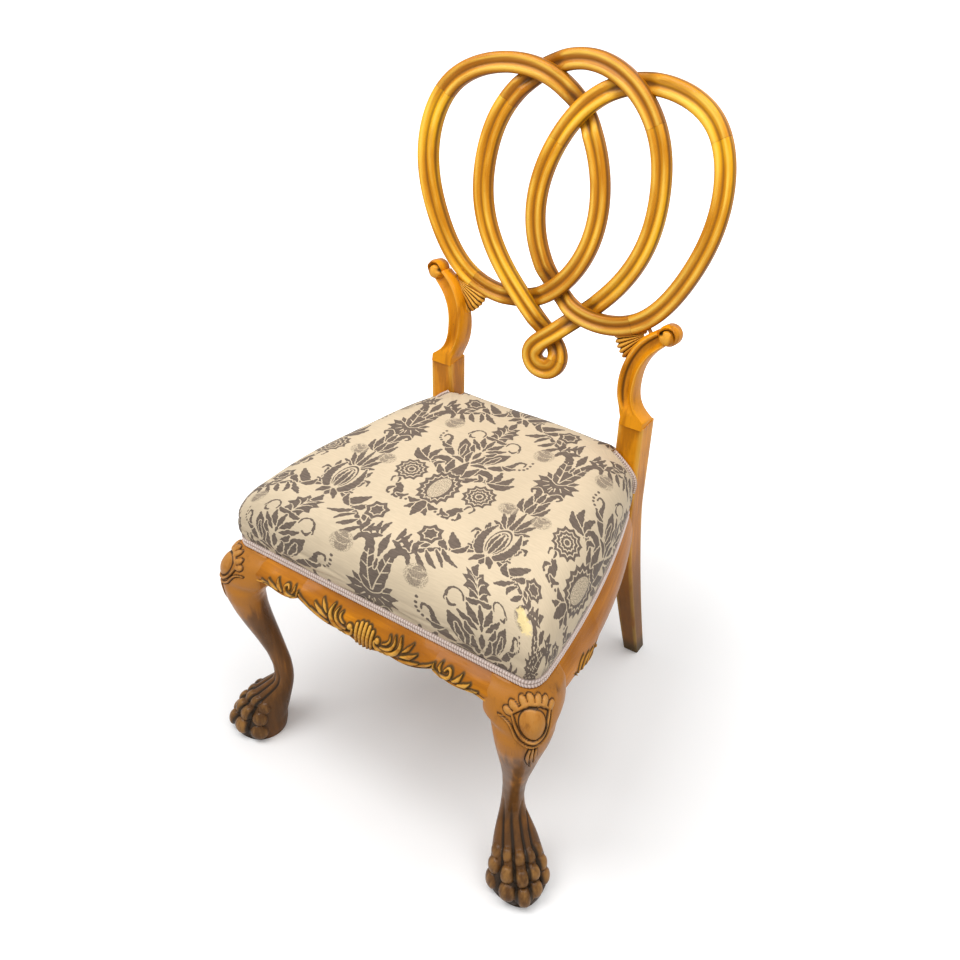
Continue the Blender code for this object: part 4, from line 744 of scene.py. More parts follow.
def carve(u, w, drawn, line=GROUND_LINE):
    """The highest stroke, high * sqrt(1 - share^2), less a groove along its edge; also the groove's darkening, partly
    settled polish and partly painted shade, and the crests' wear.
    """
    height, gap = np.zeros(u.shape), np.full(u.shape, NEAR)
    for points, half, high in drawn:
        edge, share = stroke_gap(u, w, points, half)
        height, gap = np.maximum(height, high * dome(share)), np.minimum(gap, edge)
    groove = bell(gap, 0, np.where(gap > 0, line, INNER_LINE))
    return 1.25 * height - GROOVE_DEEP * groove, groove, np.clip(height / FULL_HIGH, 0, 1) ** 1.5


def outward(points):
    """Unit normals of a grid that closes around its columns: the cross of its two central differences."""
    around = np.roll(points, -1, axis=1) - np.roll(points, 1, axis=1)
    return unit(np.cross(around, np.gradient(points, axis=0)))


# %% [markdown]
# ## Rails
# The seat frame swells out below its polished upper edge. The front rail's lower edge is cut in lobes, with fluted
# ribs in the middle, a pair of C scrolls beside them, leaves and smaller scrolls towards the legs, and a bead along
# the edge. The side rails are plain but for one leaf behind each leg. Both are one section carried along the rail.

# %% Rails
FIT = 0.0003          # clearance of a glued joint
RAIL_TOP, REBATE, RAIL_THICK = 0.412, 0.0036, 0.028
RAIL_LAP = 0.014      # a rail runs this far into the leg's rounded head
CORNER_X, BLOCK = 0.2615, 0.0615                   # the frame's front corner, and the leg's square head in it
SIDE_FRONT_X, SIDE_REAR_X, SIDE_BOW = 0.264, 0.190, 0.0145
SWELL_FRONT, SWELL_SIDE, SWELL_REAR, SWELL_BELLY, SWELL_RUN = 0.024, 0.013, 0.010, 0.004, 1.35
EDGE_ROUND = 0.002
APRON_CUSPS = ((0.036, 0.344), (0.120, 0.364), (0.172, 0.3545), (0.200, 0.354))
APRON_LOBES = (0.0095, 0.011, 0.007, -0.003)
SIDE_LOW_FRONT, SIDE_LOW_REAR = 0.338, 0.328
SIDE_LEAF_Y, SIDE_LEAF_DROP, SIDE_LEAF_LEAN = (0.090, 0.172), 0.014, 1.4
BEAD_MIDDLE, BEAD_HALF, BEAD_HIGH = 0.0022, 0.0024, 0.0016        # the bead along a rail's lower edge
BEAD_GROOVE, BEAD_GROOVE_WIDE, BEAD_GROOVE_DEEP = 0.0056, 0.0011, 0.0006
HIDDEN_OUT = np.array((-0.010, -RAIL_THICK, -RAIL_THICK, -REBATE, -REBATE))
FRONT_STROKES = strokes(
    ((0, 3710, 0, 3385), (30, 34, 30), 34), ((70, 3700, 66, 3385), (30, 34, 30), 33),
    ((142, 3670, 128, 3400), (28, 32, 28), 31), ((245, 3600, 247, 3600), (46, 46), 40),
    ((200, 3575, 215, 3510, 300, 3475, 430, 3490, 560, 3560, 620, 3660, 590, 3760), (22, 32, 37, 39, 38, 30, 12), 36),
    ((310, 3545, 400, 3550, 490, 3600, 525, 3680, 500, 3745), (14, 27, 29, 24, 10), 30),
    ((350, 3610, 415, 3635, 440, 3690, 420, 3730), (12, 22, 20, 9), 24),
    ((640, 3490, 790, 3515, 960, 3600), (18, 38, 12), 30), ((660, 3560, 790, 3605, 910, 3690), (16, 36, 10), 28),
    ((680, 3630, 750, 3690, 800, 3760), (14, 30, 10), 24), ((910, 3545, 1050, 3610, 1190, 3720), (14, 30, 12), 24),
    ((1215, 3735, 1225, 3665, 1290, 3618, 1390, 3608, 1465, 3645, 1475, 3705, 1425, 3730, 1390, 3700),
     (12, 25, 32, 34, 30, 25, 21, 18), 34),
    ((1330, 3672, 1300, 3710, 1310, 3765), (14, 24, 8), 24), ((1530, 3620, 1600, 3665, 1640, 3740), (18, 34, 10), 28),
    ((1610, 3605, 1710, 3635, 1790, 3700), (18, 34, 10), 28), ((1720, 3600, 1820, 3610, 1920, 3650), (16, 30, 10), 24))
SIDE_STROKES = strokes(
    ((1640, 3310, 1642, 3310), (40, 40), 30),
    ((1585, 3275, 1400, 3225, 1180, 3250, 1000, 3330, 920, 3440), (16, 30, 32, 26, 12), 28),
    ((1120, 3310, 1210, 3410, 1370, 3460), (18, 30, 10), 22),
    ((1280, 3290, 1380, 3370, 1520, 3400), (16, 28, 10), 20), ((1010, 3370, 1060, 3490, 1200, 3550), (16, 28, 8), 20))


def swell(share):
    """Quarter of a sine over the upper part of the face, level below."""
    return np.sin(np.minimum(SWELL_RUN * share, 1) * math.pi / 2)


def side_x(y):
    """The side's line: straight from front to rear plus a parabola for the bow."""
    share = y / POST_FRONT_Y
    return SIDE_FRONT_X + (SIDE_REAR_X - SIDE_FRONT_X) * share + SIDE_BOW * 4 * share * (1 - share)


def front_low(x):
    """Lower edge of the front rail: chords between the cusps, each lowered by half a sine."""
    x = np.abs(x)
    first = APRON_CUSPS[0]
    low = first[1] - APRON_LOBES[0] * np.cos(math.pi / 2 * np.minimum(x / first[0], 1))
    for (x0, z0), (x1, z1), lobe in zip(APRON_CUSPS, APRON_CUSPS[1:], APRON_LOBES[1:]):
        share = (x - x0) / (x1 - x0)
        low = np.where(x > x0, z0 + (z1 - z0) * share - lobe * np.sin(math.pi * np.clip(share, 0, 1)), low)
    return low


def side_low(y):
    """Lower edge of a side rail: a straight line with the leaf's leaning drop."""
    leaf = np.clip((y - SIDE_LEAF_Y[0]) / (SIDE_LEAF_Y[1] - SIDE_LEAF_Y[0]), 0, 1) ** SIDE_LEAF_LEAN
    share = (y - BLOCK) / (POST_FRONT_Y - BLOCK)
    return SIDE_LOW_FRONT + (SIDE_LOW_REAR - SIDE_LOW_FRONT) * share - SIDE_LEAF_DROP * np.sin(math.pi * leaf)


def side_swell(y):
    """Swell of a side rail: a line from front to rear plus a belly."""
    share = np.clip((y - BLOCK) / (POST_FRONT_Y - BLOCK), 0, 1)
    return SWELL_SIDE + (SWELL_REAR - SWELL_SIDE) * share + SWELL_BELLY * 4 * share * (1 - share)


def rail_grid(place, low, bulge, drawn, bead):
    """out, z, the darkening of grooves (settled polish and painted shade) and the crests' wear along a rail: swelled
    face plus relief along its normal, then the hidden sides.

    The first and last row are drawn together to a sliver, so that the fan that closes them stays inside the rail.
    """
    share, low = np.linspace(0, 1, 86), low[:, None]
    drop, rise = SHOW_TOP - low, bulge[:, None] * swell(share)
    z = SHOW_TOP - drop * share
    relief, hollow, worn = carve(np.abs(place)[:, None] + 0 * z, z, drawn)
    above = z - low
    roll = dome((above - BEAD_MIDDLE) / BEAD_HALF)
    groove = bell(above, BEAD_GROOVE, BEAD_GROOVE_WIDE)
    relief = np.maximum(relief * ease(above, 0.0, 0.004), bead * BEAD_HIGH * roll) - bead * BEAD_GROOVE_DEEP * groove
    # Darker in the carved grooves and in the groove above the bead: partly settled polish, partly painted shade.
    hollow = np.clip(np.maximum(hollow * ease(above, 0.001, 0.004), 0.8 * bead * groove), 0, 1)
    worn = np.clip(worn + bead * roll * 0.8, 0, 1)
    slope = np.gradient(rise, share, axis=1)
    size = np.hypot(drop, slope)
    out = rise - EDGE_ROUND * ease(share, 0.9, 1.0) + relief * drop / size
    level = 0 * low
    out = np.hstack([out, HIDDEN_OUT + level])
    out[[0, -1]] = 0.02 * out[[0, -1]] - RAIL_THICK / 2
    z = np.hstack([z + relief * slope / size, low, low, RAIL_TOP + level, RAIL_TOP + level, SHOW_TOP + 0.0004 + level])
    pad = ((0, 0), (0, len(HIDDEN_OUT)))
    return out, z, np.pad(hollow, pad), np.pad(worn, pad)


def front_rail():
    """The section with the front's strokes, its bead all the way along."""
    reach = CORNER_X - BLOCK + RAIL_LAP
    x = np.pad(np.linspace(-reach, reach, 720), 1, mode="edge")
    out, z, hollow, worn = rail_grid(x, front_low(x), SWELL_FRONT + 0 * x, FRONT_STROKES, 1.0)
    x = x[:, None]
    # A lower tint than the side rails darkens the whole front rail: painted shade under the seat's front.
    return {"points": join(x, -out, z), "grain": join(x, z, out), "hollow": hollow, "worn": worn, "tint": -0.11}


def side_rail(hand):
    """The section along the bowed side, with a bead under the leaf only."""
    y = np.pad(np.linspace(BLOCK - RAIL_LAP, POST_FRONT_Y - FIT, 340), 1, mode="edge")
    leafy = 0.75 * (ease(y, 0.085, 0.100) - ease(y, 0.165, 0.185))[:, None]
    out, z, hollow, worn = rail_grid(y, side_low(y), side_swell(y), SIDE_STROKES, leafy)
    y = y[:, None]
    return {"points": join(hand * (side_x(y) + out), y, z), "grain": join(y, z + 0.3 * hand, out), "hollow": hollow,
            "worn": worn, "tint": -0.05}


piece("front_rail_carved", [front_rail()], "honey_wood", ["front_rail"])
pair("side_rail", "honey_wood", side_rail)

# %% [markdown]
# ## Front legs
# A cabriole leg is sawn from a square block and rounded by hand: a square head in the corner of the frame, a broad
# knee, a thin ankle and a paw. Its rings are rounded squares turned by 45 degrees, whose size and softness change
# from row to row. On the knee lies a polished oval in a frame, with a shell above and a husk below; the paw has five
# toes with three knuckles each. All of that is relief along the ring's normals.

# %% Legs
ROOT2 = math.sqrt(2)
LEG_SHIFT = 0.0150
KNEE_FULL = 0.354     # the swell of the rails is complete at this height
HEAD_SET_BACK, HEAD_EDGE = 0.0066, -0.018
# tenths of a millimetre: z, outer, side, inner, half width; per cent: softness outside and inside, shift to the side
LEG_ROWS = np.array((
    (0, 610, 170, -260, 415, 162, 210, 100), (120, 650, 170, -290, 440, 165, 210, 100),
    (280, 590, 140, -300, 420, 175, 210, 100), (500, 460, 60, -370, 380, 190, 200, 100),
    (720, 270, -80, -430, 322, 200, 200, 100), (880, 30, -220, -470, 255, 200, 200, 100),
    (1000, -140, -310, -490, 205, 200, 200, 100), (1150, -185, -340, -500, 178, 200, 200, 100),
    (1400, -180, -335, -490, 160, 200, 200, 100), (1700, -120, -280, -445, 165, 200, 200, 100),
    (2050, 0, -200, -390, 190, 200, 200, 100), (2400, 130, -100, -330, 240, 200, 200, 100),
    (2700, 230, -40, -290, 295, 200, 200, 100), (3000, 315, 0, -280, 370, 190, 200, 85),
    (3180, 340, -60, -360, 420, 175, 180, 65), (3300, 340, -200, -600, 455, 160, 130, 45)
)) / (5 * (TENTHS,) + 3 * (100,))
# tenths of a millimetre: z, outer corner; per cent: softness, shift
HEAD_ROWS = np.array((
    (3370, 330, 150, 30), (3520, 270, 140, 15), (3720, 140, 130, 5), (3860, -40, 120, 0)
)) / (TENTHS, TENTHS, 100, 100)
SHELL_TOP = (-366, 3643, -304, 3721, -149, 3790, -51, 3821, 52, 3806, 151, 3759, 242, 3667)
SHELL_LIP = (-300, 3612, -170, 3705, -41, 3752, 76, 3721, 185, 3620)
KNEE_FRAME = (-292, 3605, -265, 3473, -204, 3373, -84, 3319, 39, 3357, 123, 3473, 177, 3612)
OVAL, OVAL_HALF, OVAL_HIGH, OVAL_SINK = (-0.0055, 0.3535), (0.0172, 0.0180), 0.0056, 0.0008
KNEE_LINE, KNEE_FROM, PAW_FADES = 0.0011, 0.265, (0.13, 0.15)
FLUTES, FLUTE_SPAN, FLUTE_HALF, FLUTE_HIGH = 7, (0.32, 0.60), (0.0044, 0.0052), 0.0026
KNEE_STROKES = strokes(
    (SHELL_LIP, (14, 20, 22, 20, 14), 24), (KNEE_FRAME, (16, 22, 24, 26, 24, 22, 16), 26),
    ((-447, 3543, -345, 3495, -273, 3345, -182, 3270, -60, 3243, 76, 3280, 168, 3415, 216, 3600),
     (12, 19, 20, 20, 20, 20, 19, 12), 22),
    ((-110, 3190, -134, 3050, -105, 2800), (20, 30, 10), 22), ((-75, 3200, -85, 3040, -75, 2720), (20, 30, 10), 26),
    ((-30, 3180, -35, 3040, -40, 2840), (20, 30, 10), 22))
# valleys between the toes: height in millimetres and turn in degrees, from the floor up
PAW_GROOVES = (
    (0, -58, 30, -56, 69, -50, 84, -52, 105, -56, 145, -63), (0, -19, 30, -19, 66, -20, 84, -18, 110, -16, 145, -20),
    (0, 13, 30, 13, 67, 14, 87, 16, 106, 25, 131, 40), (0, 44, 30, 44, 64, 45, 77, 42, 89, 50, 100, 75))
# heights, and depth or half width of the valleys there
TOE_DEEP = (0.0, 0.02, 0.06, 0.10, 0.15), (0.0024, 0.0030, 0.0036, 0.0026, 0.0)
TOE_WIDE = (0.0, 0.06, 0.15), (0.0042, 0.0036, 0.0024)
# knuckles: turn in degrees; z, radius and height in tenths of a millimetre
KNUCKLES = (
    (-76, 660, 105, 42), (-38, 720, 105, 44), (-5, 710, 105, 44), (24, 700, 100, 42), (58, 660, 100, 40),
    (-78, 470, 130, 66), (-38, 510, 130, 72), (-4, 500, 130, 72), (27, 510, 118, 66), (60, 500, 115, 60),
    (-84, 200, 150, 66), (-40, 260, 150, 76), (-3, 240, 150, 80), (28, 280, 130, 70), (60, 280, 125, 60))


def along_line(flat, share):
    """Point at a share of a broken line's corners."""
    points = places_of(flat)
    return between(share * (len(points) - 1), np.arange(len(points)), points)


for share in np.linspace(0.0, 1.0, FLUTES):
    lip, top = along_line(SHELL_LIP, share), along_line(SHELL_TOP, share)
    KNEE_STROKES.append((lip + np.outer(FLUTE_SPAN, top - lip), FLUTE_HALF, FLUTE_HIGH))


def soften(values, rows):
    """Gaussian mean along the first axis, with the end rows repeated outside."""
    reach = int(3 * rows)
    weight = np.exp(-(np.arange(-reach, reach + 1) / rows) ** 2 / 2)
    weight /= weight.sum()
    padded = np.pad(values, ((reach, reach), (0, 0)), mode="edge")
    return sum(w * padded[k:k + len(values)] for k, w in enumerate(weight))


def leg_table(z):
    """All values of a ring for each height: leg rows and head rows joined, interpolated and softened."""
    height, corner, soft, shift = HEAD_ROWS.T
    top = swell((SHOW_TOP - height) / (SHOW_TOP - KNEE_FULL))
    head = join(height, corner, (SWELL_SIDE * top - BLOCK) / ROOT2, -BLOCK * ROOT2, (SWELL_SIDE * top + BLOCK) / ROOT2,
                soft, 1.0, shift, 1.0, (SWELL_FRONT - SWELL_SIDE) * top / ROOT2)
    rows = np.vstack([np.pad(LEG_ROWS, ((0, 0), (0, 2))), head])
    dense = between(z, rows[:, 0], rows)
    dense[:, 1:] = soften(dense[:, 1:], 2.5)
    side, half = (-BLOCK - HEAD_SET_BACK) / ROOT2, (BLOCK - HEAD_SET_BACK) / ROOT2
    under = (HEAD_EDGE, side, -BLOCK * ROOT2, half, 1.2, 1, 0, 1, 0)
    return np.vstack([dense, [(SHOW_TOP + 0.0003, *under), (RAIL_TOP, *under)]])


def leg_ring(rows, turn):
    """Rounded square on the leg's diagonal: along = side + |cos|^p * reach, across = |sin|^p * half less the shift."""
    _, outer, side, inner, half, soft_out, soft_in, shift, head, lead = rows.T[..., None]
    c, s = np.cos(turn), np.sin(turn)
    lead = np.where(s < 0, lead, 0.0)
    power = 2 / np.where(c > 0, soft_out, soft_in)
    side, half = side + lead, half + lead
    along = side + np.sign(c) * np.abs(c) ** power * np.where(c > 0, outer - side, side - inner)
    across = np.sign(s) * np.abs(s) ** power * half - LEG_SHIFT * shift * (1 - head * (1 - np.maximum(c, 0)))
    return CORNER_X + (along + across) / ROOT2, (across - along) / ROOT2, across


def knee_relief(across, z, front):
    """Strokes of the knee with the polished oval in their middle."""
    relief, hollow, worn = carve(np.where(front, across, 1.0), z, KNEE_STROKES, KNEE_LINE)
    share = np.hypot((across - OVAL[0]) / OVAL_HALF[0], (z - OVAL[1]) / OVAL_HALF[1])
    inside = front & (share < 1)
    relief = np.where(inside, OVAL_HIGH * dome(share) - OVAL_SINK, relief)
    # A dark ring round the oval: partly settled polish, partly painted shade.
    rim = bell(share, 1.0, 0.07) * front
    return relief, np.where(inside, rim, np.maximum(hollow, rim)), np.where(inside, 0.55, worn)


def turned(turn, line):
    """Angle from a line to a turn, between minus and plus half a circle."""
    return np.angle(np.exp(1j * (turn - line)))


def paw_relief(points, rows, turn):
    """Knuckles are domes by distance in space; valleys between the toes follow lines of turn and height."""
    z, size = points[..., 2], (rows[:, 1:2] - rows[:, 3:4]) / 2
    bump, valley, dark = np.zeros(z.shape), np.zeros(z.shape), np.zeros(z.shape)
    for degrees, *sizes in KNUCKLES:
        height, radius, high = np.array(sizes) / TENTHS
        row, column = np.argmin(np.abs(z[:, 0] - height)), np.argmin(np.abs(turned(turn, math.radians(degrees))))
        away = np.linalg.norm(points - points[row, column], axis=-1) / radius
        bump = np.maximum(bump, high * dome(away))
    deep, wide = np.interp(z, *TOE_DEEP), np.interp(z, *TOE_WIDE)
    # Painted shade in the valleys between the toes, darker where they are deeper.
    for marks in PAW_GROOVES:
        heights, degrees = np.array(marks[::2]) / 1000, marks[1::2]
        line = np.radians(np.interp(z, heights, degrees))
        cut = bell(turned(turn, line) * size, 0, wide) * (z < heights[-1] + 0.004)
        valley, dark = np.maximum(valley, deep * cut), np.maximum(dark, cut * deep / 0.003)
    # Painted shade on the paw's outer half near the floor, except on the knuckles.
    low = ease(np.cos(turn), -0.50, 0.10) * (1 - ease(z, 0.040, 0.080))
    dark = np.maximum(dark, 0.75 * low * (1 - ease(bump, 0.0, 0.0028)))
    return bump - valley, np.clip(dark, 0, 1), np.clip(bump / 0.005, 0, 1) ** 2


def leg(hand):
    """Rings from foot to head, pushed along their normals by the relief of knee and paw."""
    even = np.linspace(0, 2 * math.pi, 320, endpoint=False)
    turn = even - 0.55 * np.sin(even)      # columns crowd in front, where the carving is
    rows = leg_table(np.linspace(0, SHOW_TOP, 290))
    x, y, across = leg_ring(rows, turn)
    points = join(x, y, rows[:, :1])
    height = points[..., 2]
    front = (np.cos(turn) > 0.02) & (height > KNEE_FROM) & (height < SHOW_TOP - 0.001)
    knee, knee_grime_and_shade, knee_worn = knee_relief(across, height, front)
    paw, paw_shade, paw_worn = paw_relief(points, rows, turn)
    foot = 1 - ease(height, *PAW_FADES)
    flat = ease(height, 0.0, 0.004) * ease(SHOW_TOP - height, 0.0, 0.004)
    grain = join(height, x + 0.4 * hand, y)
    tint = 0.24 * ease(height, 0.24, 0.335) - 0.14 * (1 - ease(height, 0.07, 0.15))
    points = points + outward(points) * ((knee * front + paw * foot) * flat)[..., None]
    points[..., 2] = np.maximum(points[..., 2], 0.0)
    points[..., 0] *= hand
    return {"points": points, "grain": grain, "tint": tint,
            "hollow": np.clip(knee_grime_and_shade * front + paw_shade * foot, 0, 1),
            "worn": np.clip(knee_worn * front + 0.6 * paw_worn * foot, 0, 1)}


pair("front_leg", "dark_wood", leg)

# %% [markdown]
# ## The damask's figure
# A damask is woven in two satins, so its figure is flat and has sharp edges. This one repeats in a half drop: a
# bouquet round a lace oval, then a column of trunk, palmette, lily and pineapple, whose branches reach the next
# trunk. An image could carry it; here every leaf is a tapering stroke and every flower a disc with teeth, drawn for
# one side of the mirror line. Folding a place of the cloth into one repeat lets each stroke be written once.

# %% Leaves, flowers and repeats of the damask
HALF_MM = 0.0005
REPEAT_WIDE, REPEAT_LONG = 267.0, 1200.0           # half width and length of a repeat, in half millimetres
AXIS_X, TOP_Y = 0.0020, 0.460                      # a bouquet's mirror line, and where its rows are counted from
OUTLINE, TOOTH, SLIM = 0.0020, 0.0075, 0.85        # cream line round a leaf, tooth of its edge, share of its width
VEIN, TIP, DOT = 1.9, 2.4, 4.5                     # half width of a cream vein, of a leaf's tip and of a dot
SOFT, VEIN_SOFT, RING = 0.0004, 0.0003, 0.0010     # soft edges of ink and vein, half width of a cream ring
BOUQUET, COLUMN = 0, 600                           # rows at which each is drawn

# each leaf: places (across, down, across, down ...) in half millimetres, then half widths along it
BOUQUET_LEAVES = (
    ((0, 232, 0, 200), (13, 11, 3)), ((0, 312, 20, 318, 40, 312), (6, 9, 3)),
    ((42, 324, 45, 304, 62, 296, 80, 306, 87, 332), (3, 3, 3, 4, 6)), ((84, 330, 74, 344, 62, 340), (3, 5, 2)),
    ((0, 388, 0, 322), (4, 10, 3)), ((8, 372, 26, 346, 34, 326), (4, 11, 3)),
    ((12, 386, 40, 366, 58, 350), (4, 11, 3)),
    ((66, 450, 98, 428, 115, 396, 125, 372, 141, 370, 143, 386), (9, 13, 11, 7, 5, 3)),
    ((92, 420, 112, 424, 126, 414), (4, 9, 3)), ((30, 452, 44, 424, 62, 392, 80, 362), (8, 20, 19, 4)),
    ((44, 440, 55, 412, 62, 388), (4, 8, 3)), ((18, 408, 34, 392, 40, 376), (4, 9, 3)),
    ((0, 440, 0, 398), (4, 10, 3)), ((6, 462, 20, 434, 22, 410), (5, 9, 2)), ((16, 470, 40, 458, 60, 460), (5, 9, 3)),
    ((98, 518, 130, 504, 150, 450), (6, 18, 4)), ((103, 510, 114, 476, 108, 448), (6, 13, 4)),
    ((106, 516, 144, 512, 170, 482), (6, 15, 4)), ((84, 520, 96, 500, 92, 484), (5, 9, 3)),
    ((14, 530, 40, 500, 68, 480, 94, 488, 98, 510), (8, 13, 15, 11, 4)), ((62, 498, 78, 514, 66, 532), (5, 9, 3)),
    ((8, 552, 44, 540, 66, 516), (8, 14, 4)), ((5, 546, 30, 512, 44, 474), (8, 16, 4)),
    ((0, 552, 0, 462), (14, 22, 13, 4)), ((118, 646, 104, 660, 84, 694), (4, 16, 14)),
    ((112, 670, 122, 684, 118, 698), (5, 7, 2)), ((116, 648, 124, 630, 140, 634, 136, 654), (4, 4, 4, 2)),
    ((88, 690, 70, 690, 58, 676), (5, 8, 2)))
BOUQUET_TAIL = (
    ((2, 678, 24, 690, 50, 684), (7, 13, 3)), ((4, 690, 22, 710, 36, 722), (7, 12, 3)),
    ((0, 684, 0, 742), (17, 15, 3)))
COLUMN_LEAVES = (
    ((92, 252, 82, 234, 86, 212), (4, 11, 3)), ((24, 236, 30, 216, 24, 192), (4, 10, 3)),
    ((34, 240, 46, 222, 50, 200), (4, 8, 3)), ((46, 256, 60, 240, 66, 218), (4, 9, 3)),
    ((0, 390, 13, 354, 22, 320, 29, 286, 46, 262, 67, 262, 77, 284), (22, 23, 20, 16, 13, 10, 6)),
    ((0, 226, 0, 296), (2, 14, 2)), ((0, 330, 0, 304), (4, 5, 2)), ((106, 288, 100, 316), (17, 18)),
    ((84, 296, 104, 302, 128, 292), (5, 10, 4)), ((8, 506, 19, 476, 34, 452, 47, 460, 39, 474), (6, 11, 10, 6, 3)),
    ((0, 508, 0, 462), (8, 10, 3)), ((8, 562, 32, 546, 43, 514), (7, 11, 3)),
    ((3, 560, 18, 528, 28, 490), (8, 13, 3)), ((0, 562, 0, 512), (12, 9, 3)), ((52, 562, 50, 588), (11, 13)),
    ((38, 564, 52, 574, 68, 562), (4, 8, 4)), ((8, 654, 35, 646, 55, 640), (7, 11, 3)),
    ((7, 650, 35, 622, 51, 600), (7, 11, 3)), ((5, 646, 24, 600, 31, 562), (7, 10, 3)), ((0, 650, 0, 566), (8, 8, 2)),
    ((20, 764, 47, 740, 62, 704, 77, 692, 84, 710), (8, 14, 12, 7, 3)), ((28, 758, 48, 756, 66, 750), (9, 11, 3)),
    ((38, 728, 57, 718, 69, 700), (9, 11, 3)), ((40, 692, 53, 676, 60, 654), (9, 11, 3)),
    ((4, 770, 36, 746, 49, 704, 37, 650), (11, 14, 11, 3)), ((0, 760, 0, 798), (18, 4)),
    ((8, 768, 24, 784, 32, 796), (9, 10, 3)), ((40, 768, 95, 790, 140, 818, 190, 850, 230, 874), (6, 7, 7, 6, 5)),
    ((66, 784, 96, 770, 126, 738), (7, 17, 4)), ((88, 794, 66, 780, 60, 758), (5, 11, 3)),
    ((104, 796, 128, 784, 146, 762), (5, 12, 3)), ((112, 802, 82, 826, 56, 838), (4, 11, 3)),
    ((126, 812, 106, 838, 100, 856), (4, 9, 3)), ((152, 828, 136, 852, 118, 866), (4, 11, 3)),
    ((176, 846, 158, 870, 142, 882), (4, 10, 3)), ((184, 826, 178, 810, 172, 796), (5, 9, 5)),
    ((170, 822, 156, 808, 150, 800), (4, 8, 3)), ((196, 850, 218, 830, 238, 820), (4, 10, 3)),
    ((214, 862, 232, 848, 250, 842), (4, 9, 3)))
PINEAPPLE = (
    ((5, 750, 15, 716, 12, 678), (4, 7, 3)), ((0, 750, 0, 674), (6, 9, 3)))
BOUQUET_DOTS = (
    (156, 356, 154, 392, 128, 412), (112, 698, 72, 702, 38, 690))
# flowers: across, down, half width, half length, teeth, depth of teeth (less than 0: pointed), cream rings as shares
BOUQUET_BLOOMS = ((119, 580, 43, 44, 12, -0.20, (0.74, 0.47, 0.22)), (0, 606, 53, 69, 17, -0.18, (0.74,)))
COLUMN_BLOOMS = ((0, 704, 29, 52, 0, 0.0, (0.80,)), (174, 772, 30, 29, 7, -0.30, (0.58,)))
# jagged leaf heads, drawn before what grows out of them, and the cream veins scratched into them
BOUQUET_HEADS = ((0, 266, 30, 42, 11, -0.42, ()),)
COLUMN_HEADS = ((0, 410, 52, 50, 13, -0.36, ()),)
BOUQUET_VEINS = (
    (0, 312, 0, 236), (2, 300, 13, 288, 26, 284), (2, 282, 11, 264, 25, 257), (2, 262, 8, 246, 17, 238))
COLUMN_VEINS = (
    (2, 396, 12, 356, 22, 320, 30, 288), (9, 372, 24, 364), (17, 340, 6, 326), (19, 334, 36, 326), (25, 308, 14, 296),
    (27, 302, 42, 298), (6, 424, 10, 440), (18, 418, 30, 432), (27, 406, 44, 410), (28, 392, 46, 384),
    (0, 430, 0, 450))
BOUQUET_LACE = ((0, 606, 27, 47),)
COLUMN_LACE = ((104, 304, 34, 33), (54, 576, 30, 27))


def folded(a, b, drop):
    """A place of the cloth as distance from the nearest mirror line and rows down, for one of the two columns."""
    across = (a - AXIS_X) / HALF_MM - drop * REPEAT_WIDE
    across = np.abs((across + REPEAT_WIDE) % (2 * REPEAT_WIDE) - REPEAT_WIDE)
    return across * HALF_MM, (TOP_Y - b) / HALF_MM + drop * REPEAT_LONG / 2


def around_row(rows, middle):
    """Rows wrapped into the repeat that has the given middle, in metres."""
    half = REPEAT_LONG / 2
    return ((rows - middle + half) % REPEAT_LONG - half + middle) * HALF_MM


def drawn_gap(across, rows, flat, half, down, tooth=0.0):
    """Distance to the edge of one stroke of the figure."""
    places = np.reshape(flat, (-1, 2)) + (0.0, down)
    w = around_row(rows, places[:, 1].mean())
    return stroke_gap(across, w, places * HALF_MM, np.array(half) * HALF_MM, tooth)[0]


def draw_leaves(figure, across, rows, leaves, down):
    """Each leaf clears a cream line round itself, then fills its shape: later leaves lie over earlier ones."""
    for flat, half in leaves:
        gap = drawn_gap(across, rows, flat, np.maximum(SLIM * np.array(half), TIP), down, TOOTH)
        figure = np.maximum(figure * ease(gap, 0.5 * OUTLINE, OUTLINE), ease(-gap, -SOFT, SOFT))
    return figure


def polar(across, rows, u, v, wide, long):
    """Share of an ellipse's radius, and the angle, for each place."""
    du, dv = (across / HALF_MM - u) / wide, (around_row(rows, v) / HALF_MM - v) / long
    return np.hypot(du, dv), np.arctan2(dv, du)


def draw_blooms(figure, across, rows, blooms, down):
    """Discs with teeth, each with thin scalloped cream rings."""
    for u, v, wide, long, teeth, depth, rings in blooms:
        share, angle = polar(across, rows, u, v + down, wide, long)
        share = share / (1 - depth + depth * np.abs(np.cos(teeth / 2 * angle)))
        gap = (share - 1) * wide * HALF_MM
        disc = ease(-gap, -SOFT, SOFT)
        for ring in rings:
            disc = disc * (1 - np.exp(-((share - ring) * wide * HALF_MM / RING) ** 4))
        figure = np.maximum(figure * ease(gap, 0.5 * OUTLINE, OUTLINE), disc)
    return figure


def scratch_veins(figure, across, rows, veins, down):
    """Thin cream lines cut out of what is drawn so far."""
    for flat in veins:
        figure = figure * ease(drawn_gap(across, rows, flat, (VEIN, 0.6 * VEIN), down), -VEIN_SOFT, VEIN_SOFT)
    return figure


